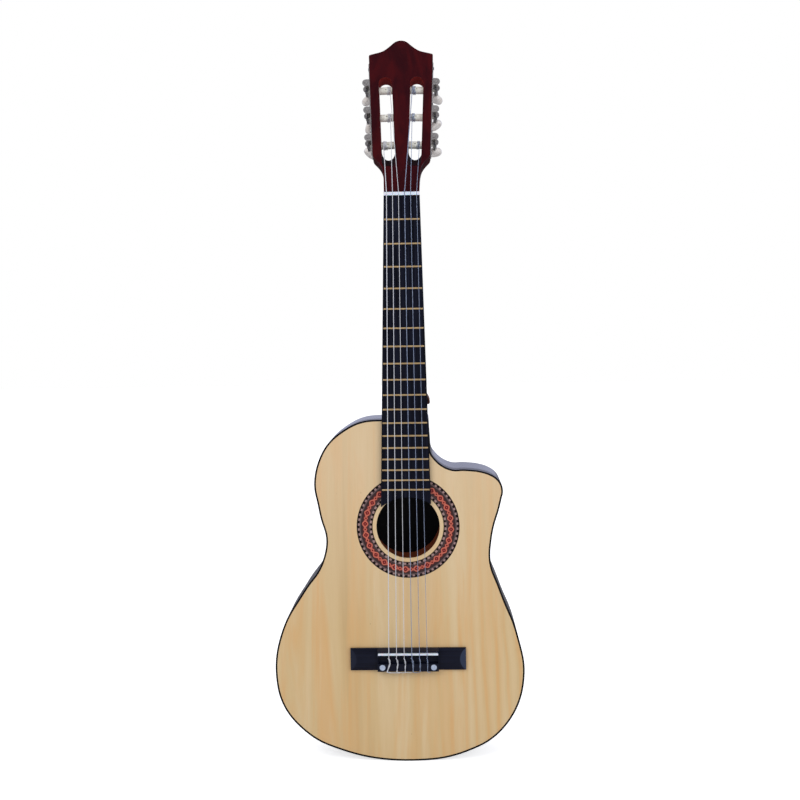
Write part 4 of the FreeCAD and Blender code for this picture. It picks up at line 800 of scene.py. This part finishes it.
class Guitar:
    """The loaded frame, and the ways to dress its nodes and add pieces."""

    def __init__(self) -> None:
        """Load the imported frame."""
        self.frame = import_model()
        self.nodes: dict[str, bpy.types.Object] = self.frame["nodes"]
        self.body: dict[str, str] = {}
        for name, members in self.frame["record"]["behaviour"]["bodies"].items():
            for member in members:
                self.body[member] = name

    def paint(self, node: str, finish: Palette) -> None:
        """Give a carried-over node its material.

        Args:
            node: The node's name.
            finish: Its finish.
        """
        thing = self.nodes[node]
        thing.data.materials.clear()
        thing.data.materials.append(finish.value.material())

    def add(self, name: str, mesh: bpy.types.Mesh, finish: Palette, body: str,
            replaced: tuple[str, ...] = ()) -> bpy.types.Object:
        """Put a new piece on a body.

        Args:
            name: The piece's name.
            mesh: Its mesh, in the row frame.
            finish: Its finish.
            body: The body that it moves with.
            replaced: The carried-over nodes that it stands for.

        Returns:
            The new object.
        """
        thing = bpy.data.objects.new(name, mesh)
        bpy.context.scene.collection.objects.link(thing)
        mesh.materials.clear()
        mesh.materials.append(finish.value.material())
        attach(thing, body)
        if replaced:
            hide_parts(*replaced)
        return thing

    def refine(self, node: str, finish: Palette, crease: float = 32,
               bevel_mm: float = 0.0) -> bpy.types.Object:
        """Show a merged copy of a node, smooth between its creases.

        Args:
            node: The node's name.
            finish: Its finish.
            crease: The angle in degrees from which an edge stays sharp.
            bevel_mm: The width of a rounding on the creases, or 0.

        Returns:
            The new object.
        """
        near, flat = 0.002 * MM, math.radians(0.4)
        shape = bmesh.new()
        shape.from_mesh(self.nodes[node].data)
        bmesh.ops.remove_doubles(shape, verts=shape.verts, dist=near)
        if bevel_mm:
            bmesh.ops.dissolve_limit(shape, angle_limit=flat, verts=shape.verts,
                                     edges=shape.edges)
        for face in shape.faces:
            face.smooth = True
        limit = math.radians(crease)
        for edge in shape.edges:
            edge.smooth = not (edge.is_manifold and edge.calc_face_angle() > limit)
        mesh = bpy.data.meshes.new(node + "_shown")
        shape.to_mesh(mesh)
        shape.free()
        thing = self.add(node + "_shown", mesh, finish, self.body[node], (node,))
        if bevel_mm:
            bevel = thing.modifiers.new("edges", "BEVEL")
            bevel.width = bevel_mm * MM
            bevel.segments = 2
            bevel.limit_method = "ANGLE"
            bevel.angle_limit = limit
        return thing


def mesh_from(shape: bmesh.types.BMesh, name: str, smooth: bool = False) -> bpy.types.Mesh:
    """Turn a finished bmesh into a mesh with its faces outwards.

    Args:
        shape: The bmesh, which is freed.
        name: The mesh's name.
        smooth: Whether its faces are smooth.

    Returns:
        The mesh.
    """
    bmesh.ops.recalc_face_normals(shape, faces=shape.faces)
    for face in shape.faces:
        face.smooth = smooth
    mesh = bpy.data.meshes.new(name)
    shape.to_mesh(mesh)
    shape.free()
    return mesh


def settle(shape: bmesh.types.BMesh) -> None:
    """Order the edges and faces by their corners, because an extrusion's order varies by run.

    Args:
        shape: The bmesh.
    """
    shape.verts.index_update()
    for parts in (shape.edges, shape.faces):
        ranked = sorted(parts, key=lambda part: sorted(corner.index for corner in part.verts))
        for rank, part in enumerate(ranked):
            part.index = rank
        parts.sort()


def tube(name: str, points: list[Point], radius_mm: float) -> bpy.types.Mesh:
    """Make a closed round strand along a path that bends smoothly.

    Args:
        name: The mesh's name.
        points: The path's points in millimetres.
        radius_mm: The strand's radius.

    Returns:
        The mesh.
    """
    curve = bpy.data.curves.new(name, "CURVE")
    curve.dimensions = "3D"
    curve.bevel_depth = radius_mm * MM
    curve.bevel_resolution = 2
    curve.use_fill_caps = True
    spline = curve.splines.new("NURBS")
    spline.points.add(len(points) - 1)
    for place, (x, y, z) in zip(spline.points, points):
        place.co = (x * MM, y * MM, z * MM, 1)
    spline.use_endpoint_u = True
    spline.order_u = 4
    spline.resolution_u = 3
    holder = bpy.data.objects.new(name, curve)
    bpy.context.scene.collection.objects.link(holder)
    bpy.context.view_layer.update()
    mesh = bpy.data.meshes.new_from_object(
        holder.evaluated_get(bpy.context.evaluated_depsgraph_get()))
    bpy.data.objects.remove(holder)
    shape = bmesh.new()
    shape.from_mesh(mesh)
    bpy.data.meshes.remove(mesh)
    bmesh.ops.remove_doubles(shape, verts=shape.verts, dist=0.001 * MM)
    return mesh_from(shape, name, smooth=True)


@dataclass
class SoundBox:
    """The box with its plates, trim, mosaic ring and what shows inside."""

    hole_mm: tuple[float, float] = HOLE_MM
    motifs: int = 24
    motif_radius_mm: float = 57.3
    motif_phase: float = -4.2
    outer_teeth: int = 62
    inner_teeth: int = 47
    tile_lift_mm: float = 0.03
    tile_foot_mm: float = 0.02
    outlines_mm: dict[str, list[tuple[float, float]]] = field(default_factory=lambda: {
        "big": [(-5.3, 1.2), (-3.9, 1.9), (-2.4, 3.2), (-0.8, 4.15), (0.8, 4.15), (2.4, 3.2),
                (3.9, 1.9), (5.3, 1.2), (5.3, -1.2), (3.9, -1.9), (2.4, -3.2), (0.8, -4.15),
                (-0.8, -4.15), (-2.4, -3.2), (-3.9, -1.9), (-5.3, -1.2)],
        "link": [(-2.3, 1.2), (-1.3, 1.9), (0, 2.8), (1.3, 1.9), (2.3, 1.2), (2.3, -1.2),
                 (1.3, -1.9), (0, -2.8), (-1.3, -1.9), (-2.3, -1.2)],
        "eye": [(-2.9, 0), (-1.6, 1.6), (0, 2.8), (1.6, 1.6), (2.9, 0), (1.6, -1.6),
                (0, -2.8), (-1.6, -1.6)],
        "dot": [(-1.3, 0), (0, 1.4), (1.3, 0), (0, -1.4)],
        "heart": [(-1.0, 0), (-0.5, 0.9), (0.5, 0.9), (1.0, 0), (0.5, -0.9), (-0.5, -0.9)],
        "tooth": [(-1.85, -1.3), (-1.6, 1.3), (1.6, 1.3), (1.85, -1.3)],
        "gap": [(-1.35, -1.1), (-1.6, 1.1), (1.6, 1.1), (1.35, -1.1)],
    })

    def tiles(self, shape: bmesh.types.BMesh, outline: str, radius_mm: float, count: int,
              phase: float, layer: int) -> None:
        """Inlay one outline all round the ring.

        Args:
            shape: The bmesh to add to.
            outline: The outline's name, in millimetres along and across the ring.
            radius_mm: The radius that its middle lies on.
            count: How many there are.
            phase: The angle of the first one in degrees.
            layer: Which layer of tiles it is, counted from the wood.
        """
        aside, up = self.hole_mm
        centre = Vector((aside * MM, 0, up * MM))
        front = -self.tile_lift_mm * (layer + 1) * MM
        foot = self.tile_foot_mm * MM
        corners = [shape.verts.new(((aside + radius_mm + across) * MM, foot, (up + along) * MM))
                   for along, across in self.outlines_mm[outline]]
        face = shape.faces.new(corners)
        grown = bmesh.ops.extrude_face_region(shape, geom=[face])["geom"]
        lifted = [part for part in grown if isinstance(part, bmesh.types.BMVert)]
        bmesh.ops.translate(shape, verts=lifted, vec=(0, front - foot, 0))
        one = corners + lifted
        bmesh.ops.rotate(shape, verts=one, cent=centre,
                         matrix=Matrix.Rotation(-math.radians(phase), 3, "Y"))
        faces = list(dict.fromkeys(face for corner in one for face in corner.link_faces))
        edges = list(dict.fromkeys(edge for corner in one for edge in corner.link_edges))
        bmesh.ops.spin(shape, geom=one + edges + faces, cent=centre, axis=(0, 1, 0),
                       angle=math.tau * (count - 1) / count, steps=count - 1,
                       use_duplicate=True)

    def mosaic(self, guitar: Guitar) -> None:
        """Lay the ring's tiles.

        Args:
            guitar: The guitar.
        """
        half = 180 / self.motifs
        motif = (self.motif_radius_mm, self.motifs, self.motif_phase)
        link = (self.motif_radius_mm, self.motifs, self.motif_phase + half)
        layers = {
            Palette.CORAL: [("big", *motif, 0), ("link", *link, 0)],
            Palette.WINE: [("eye", *motif, 1), ("dot", *link, 1)],
            Palette.ROSE: [("heart", *motif, 2)],
            Palette.JET: [("tooth", 66.8, self.outer_teeth, 0, 0),
                          ("gap", 49.2, self.inner_teeth, 0, 0)],
            Palette.MAUVE: [("gap", 65.6, self.outer_teeth, 180 / self.outer_teeth, 0),
                            ("tooth", 50.0, self.inner_teeth, 180 / self.inner_teeth, 0)],
        }
        for finish, rings in layers.items():
            shape = bmesh.new()
            for outline, radius, count, phase, layer in rings:
                self.tiles(shape, outline, radius, count, phase, layer)
            settle(shape)
            name = finish.value.name
            guitar.add(name + "s", mesh_from(shape, name), finish, ROOT_BODY)

    def build(self, guitar: Guitar) -> None:
        """Dress the box.

        Args:
            guitar: The guitar.
        """
        guitar.refine("soundboard", Palette.TOP)
        for node in ("ribs_bass", "ribs_treble"):
            guitar.refine(node, Palette.BODY, crease=24)
        guitar.refine("back_plate", Palette.BACK)
        for node in ("top_binding", "back_binding", "heel_cap"):
            guitar.refine(node, Palette.TRIM)
        for node in ("top_lining", "back_lining", "top_braces", "back_braces", "neck_block",
                     "tail_block", "bridge_plate"):
            guitar.paint(node, Palette.INSIDE)
        guitar.paint("label", Palette.LABEL)
        guitar.paint("rosette", Palette.MOSAIC)
        self.mosaic(guitar)


@dataclass
class Neck:
    """The neck with its head, board, frets and nut."""

    def build(self, guitar: Guitar) -> None:
        """Dress the neck.

        Args:
            guitar: The guitar.
        """
        guitar.refine("neck", Palette.NECK, crease=38, bevel_mm=0.7)
        guitar.refine("fretboard", Palette.BOARD, bevel_mm=0.3)
        guitar.refine("frets", Palette.FRET, crease=50)
        guitar.refine("nut", Palette.BONE, bevel_mm=0.3)
        guitar.refine("strap_button", Palette.STRAP)
        guitar.paint("strap_screw", Palette.STEEL)


@dataclass
class Tuners:
    """The six geared machines."""

    count: int = 6

    def build(self, guitar: Guitar) -> None:
        """Dress the machines.

        Args:
            guitar: The guitar.
        """
        for side in ("bass", "treble"):
            guitar.refine("tuner_plate_" + side, Palette.NICKEL)
        guitar.refine("tuner_screws", Palette.STEEL)
        for number in range(1, self.count + 1):
            guitar.refine(f"worm_shaft_{number}", Palette.NICKEL)
            guitar.refine(f"gear_{number}", Palette.GEAR, crease=28)
            guitar.refine(f"roller_{number}", Palette.ROLLER)
            guitar.refine(f"button_{number}", Palette.PEARL, crease=60)


@dataclass(frozen=True)
class Tie:
    """How one string is tied to the block behind the saddle, in millimetres.

    Attributes:
        radius: The string's radius.
        bulge: How far the pair of strands stands to the treble side at the block's front.
        lean: How far it stands there at the block's back.
        turns: How often the two strands go round each other.
        tail: How far the cut end reaches sideways behind the block.
    """

    radius: float
    bulge: float
    lean: float
    turns: float
    tail: float


@dataclass
class BridgeAndStrings:
    """The bridge with its saddle and dots, and the strings with their ties."""

    wound: tuple[int, ...] = (4, 5, 6)
    cut_mm: float = -612.2
    block_mm: tuple[float, float] = (-623.3, -633.6)
    block_top_mm: float = -9.2
    hole_mm: float = -4.6
    samples: int = 14
    ties: tuple[Tie, ...] = (
        Tie(0.36, 0.7, 0.3, 1.2, 4.5), Tie(0.41, 0.9, 0.6, 1.1, -4.0),
        Tie(0.51, 1.5, 1.5, 1.2, 5.0), Tie(0.38, 1.6, 0.9, 1.4, 9.0),
        Tie(0.45, 1.6, 0.1, 1.2, 12.0), Tie(0.55, 1.1, -2.6, 1.1, 17.0))

    def cut_string(self, guitar: Guitar, number: int, finish: Palette) -> Vector:
        """Show a string without its tie.

        Args:
            guitar: The guitar.
            number: The string's number.
            finish: Its finish.

        Returns:
            The middle of the cut.
        """
        thing = guitar.refine(f"string_{number}", finish, crease=60)
        shape = bmesh.new()
        shape.from_mesh(thing.data)
        cut = bmesh.ops.bisect_plane(
            shape, geom=shape.verts[:] + shape.edges[:] + shape.faces[:],
            plane_co=(0, 0, self.cut_mm * MM), plane_no=(0, 0, 1), clear_inner=True)
        rim = [part for part in cut["geom_cut"] if isinstance(part, bmesh.types.BMEdge)]
        bmesh.ops.edgeloop_fill(shape, edges=rim)
        corners = [part.co for part in cut["geom_cut"] if isinstance(part, bmesh.types.BMVert)]
        middle = sum(corners, Vector()) / len(corners)
        shape.to_mesh(thing.data)
        shape.free()
        return middle / MM

    def strand(self, tie: Tie, x: float, half_turn: float) -> list[Point]:
        """Give one of the two twisted strands, from the block's back to its front.

        Args:
            tie: The tie.
            x: The string's place.
            half_turn: The strand's own angle in radians.

        Returns:
            The points.
        """
        front, back = self.block_mm
        height = self.block_top_mm - 2 * tie.radius - 0.1
        path = [Vector((x + tie.lean, height, back)),
                Vector((x + (tie.lean + tie.bulge) / 2 - 0.2, height, (front + back) / 2)),
                Vector((x + tie.bulge, height, front + 0.4)),
                Vector((x + tie.bulge * 0.8, height + 0.3, front + 3.4)),
                Vector((x + 0.3, height - 0.4, front + 6.6))]
        points = []
        for index in range(self.samples + 1):
            share = index / self.samples * (len(path) - 1)
            start = min(int(share), len(path) - 2)
            middle = path[start].lerp(path[start + 1], share - start)
            angle = half_turn + math.tau * tie.turns * index / self.samples
            offset = Vector((math.cos(angle), math.sin(angle), 0)) * (tie.radius + 0.04)
            points.append(tuple(middle + offset))
        return points

    def tie_path(self, tie: Tie, start: Vector) -> list[Point]:
        """Give a tie's whole path from the cut string to the string's end.

        Args:
            tie: The tie.
            start: The middle of the cut.

        Returns:
            The points in millimetres.
        """
        front, back = self.block_mm
        x = start.x
        down = Vector((x, self.hole_mm, front)) - start
        out = back - tie.radius - 0.5
        path = [tuple(start - down * 0.04), tuple(start + down * 0.3),
                tuple(start + down * 0.7), (x, self.hole_mm, front),
                (x, self.hole_mm, (front + back) / 2), (x, self.hole_mm, back),
                (x, self.hole_mm - 0.4, out), (x + tie.lean * 0.6, self.hole_mm - 2.4, out)]
        path += self.strand(tie, x, 0.4)
        under = front + 8.6
        path += [(x - tie.radius * 2.2, self.block_top_mm - 1.4, under),
                 (x - tie.radius * 2.4, self.block_top_mm + 1.0, under - 1.6)]
        path += self.strand(tie, x, 0.4 + math.pi)[::-1]
        way = math.copysign(1, tie.tail)
        path += [(x + tie.lean + way, self.block_top_mm + 0.6, out - 0.3),
                 (x + tie.lean + tie.tail * 0.5, self.block_top_mm + 1.6, out - 0.9),
                 (x + tie.lean + tie.tail, self.block_top_mm + 0.9, out - 0.6)]
        return path

    def build(self, guitar: Guitar) -> None:
        """Dress the bridge and the strings.

        Args:
            guitar: The guitar.
        """
        guitar.refine("bridge", Palette.BRIDGE, crease=20, bevel_mm=0.4)
        guitar.refine("saddle", Palette.BONE)
        guitar.refine("bridge_dots", Palette.DOT)
        guitar.paint("bridge_bolts", Palette.STEEL)
        for number, tie in enumerate(self.ties, start=1):
            finish = Palette.WOUND if number in self.wound else Palette.NYLON
            start = self.cut_string(guitar, number, finish)
            mesh = tube(f"tie_{number}", self.tie_path(tie, start), tie.radius)
            guitar.add(f"tie_{number}", mesh, finish, ROOT_BODY)


@dataclass
class Studio:
    """The camera of the photograph, the floor and the soft light."""

    camera_mm: Point = (40.0, -1467.4, -171.0)
    pitch: float = 1.4
    yaw: float = 1.5
    roll: float = 0.815
    lens_mm: float = 49.81
    sensor_mm: float = 36.0
    picture_px: float = 800.0
    principal_px: tuple[float, float] = (405.1, 350.25)
    white: Colour = (1.0, 1.0, 1.0, 1.0)
    behind: Colour = (0.61, 0.64, 0.85, 1.0)
    beside: Colour = (0.78, 0.80, 0.90, 1.0)
    ahead: Colour = (0.05, 0.055, 0.09, 1.0)
    diffuse: Colour = (0.62, 0.63, 0.66, 1.0)
    round_from_ahead: Point = (0.45, 1.0, -0.3)
    floor_glow: float = 0.68

    def camera(self) -> None:
        """Set up the camera."""
        data = bpy.data.cameras.new("camera")
        data.sensor_fit = "HORIZONTAL"
        data.sensor_width = self.sensor_mm
        data.lens = self.lens_mm
        half = self.picture_px / 2
        data.shift_x = (half - self.principal_px[0]) / self.picture_px
        data.shift_y = (self.principal_px[1] - half) / self.picture_px
        data.clip_start = 0.05
        camera = bpy.data.objects.new("camera", data)
        bpy.context.scene.collection.objects.link(camera)
        pitch, yaw = math.radians(self.pitch), math.radians(self.yaw)
        forward = Vector((-math.sin(yaw) * math.cos(pitch), math.cos(yaw) * math.cos(pitch),
                          -math.sin(pitch)))
        right = Vector((math.cos(yaw), math.sin(yaw), 0))
        turn = Matrix((right, right.cross(forward), -forward)).transposed()
        turn = turn @ Matrix.Rotation(-math.radians(self.roll), 3, "Z")
        camera.matrix_world = Matrix.Translation(Vector(self.camera_mm) * MM) @ turn.to_4x4()
        bpy.context.scene.camera = camera

    def lamp(self, name: str, place: Point, aim: Point, size: float, watts: float,
             colour: Point) -> None:
        """Hang one soft lamp.

        Args:
            name: The lamp's name.
            place: Where it is, in metres.
            aim: What it points at.
            size: Its side in metres.
            watts: Its power.
            colour: Its colour.
        """
        data = bpy.data.lights.new(name, "AREA")
        data.shape = "SQUARE"
        data.size = size
        data.energy = watts
        data.color = colour
        lamp = bpy.data.objects.new(name, data)
        lamp.visible_glossy = False
        bpy.context.scene.collection.objects.link(lamp)
        aimed = (Vector(aim) - Vector(place)).to_track_quat("-Z", "Y")
        lamp.matrix_world = Matrix.Translation(Vector(place)) @ aimed.to_matrix().to_4x4()

    def world(self) -> None:
        """Light the world: white for the camera, dim ahead of the guitar in reflections."""
        world = bpy.data.worlds.new("world")
        bpy.context.scene.world = world
        world.use_nodes = True
        sky = Nodes(world.node_tree)
        path = sky.node("ShaderNodeLightPath")
        coords = sky.node("ShaderNodeTexCoord")
        lean = sky.node("ShaderNodeVectorMath", {
            0: coords.outputs["Generated"], 1: self.round_from_ahead}, operation="DOT_PRODUCT")
        stops = [(0.08, self.ahead), (0.17, self.beside), (0.48, self.beside),
                 (0.6, self.behind)]
        around = sky.ramp(sky.level(lean.outputs["Value"], -1, 1), stops, Passage.STRAIGHT)
        soft = sky.mix(path.outputs["Is Glossy Ray"], self.diffuse, around)
        seen = sky.mix(path.outputs["Is Camera Ray"], soft, self.white)
        ground = world.node_tree.nodes["Background"]
        sky.feed(ground.inputs["Color"], seen)
        sky.feed(ground.inputs["Strength"], 1.0)

    def floor(self, height: float) -> None:
        """Lay a pale floor that shows white and keeps the shadow.

        Args:
            height: The floor's height in metres.
        """
        shape = bmesh.new()
        bmesh.ops.create_grid(shape, x_segments=1, y_segments=1, size=9.0)
        bmesh.ops.translate(shape, verts=shape.verts, vec=(0, 0, height))
        mesh = mesh_from(shape, "floor")
        recipe = Recipe("floor_paint")
        path = recipe.node("ShaderNodeLightPath")
        paint = recipe.mix(path.outputs["Is Glossy Ray"], srgb(236, 236, 238),
                           srgb(137, 137, 140))
        glow = recipe.sum("MULTIPLY", path.outputs["Is Camera Ray"], self.floor_glow)
        mesh.materials.append(recipe.surface(
            Base_Color=paint, Roughness=0.9, Emission_Color=self.white, Emission_Strength=glow))
        floor = bpy.data.objects.new("floor", mesh)
        bpy.context.scene.collection.objects.link(floor)
        floor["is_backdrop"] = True

    def build(self, height: float) -> None:
        """Set up the studio.

        Args:
            height: The floor's height in metres.
        """
        self.camera()
        self.world()
        self.floor(height)
        middle = (0.0, 0.0, -0.2)
        self.lamp("key", (-1.5, -2.3, 1.7), middle, 1.8, 34, (1.0, 0.98, 0.96))
        self.lamp("fill", (1.9, -2.1, 0.6), middle, 1.8, 22, (0.97, 0.98, 1.0))
        bpy.context.scene.view_settings.view_transform = "Standard"


def main() -> None:
    """Build every piece in order."""
    logging.basicConfig(level=logging.INFO, format="%(message)s")
    guitar = Guitar()
    cad_box = [list(corner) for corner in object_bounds()]
    for part in (SoundBox(), Neck(), Tuners(), BridgeAndStrings()):
        part.build(guitar)
        LOG.info("built %s", type(part).__name__)
    Studio().build(cad_box[0][2])


if __name__ == "__main__":
    main()
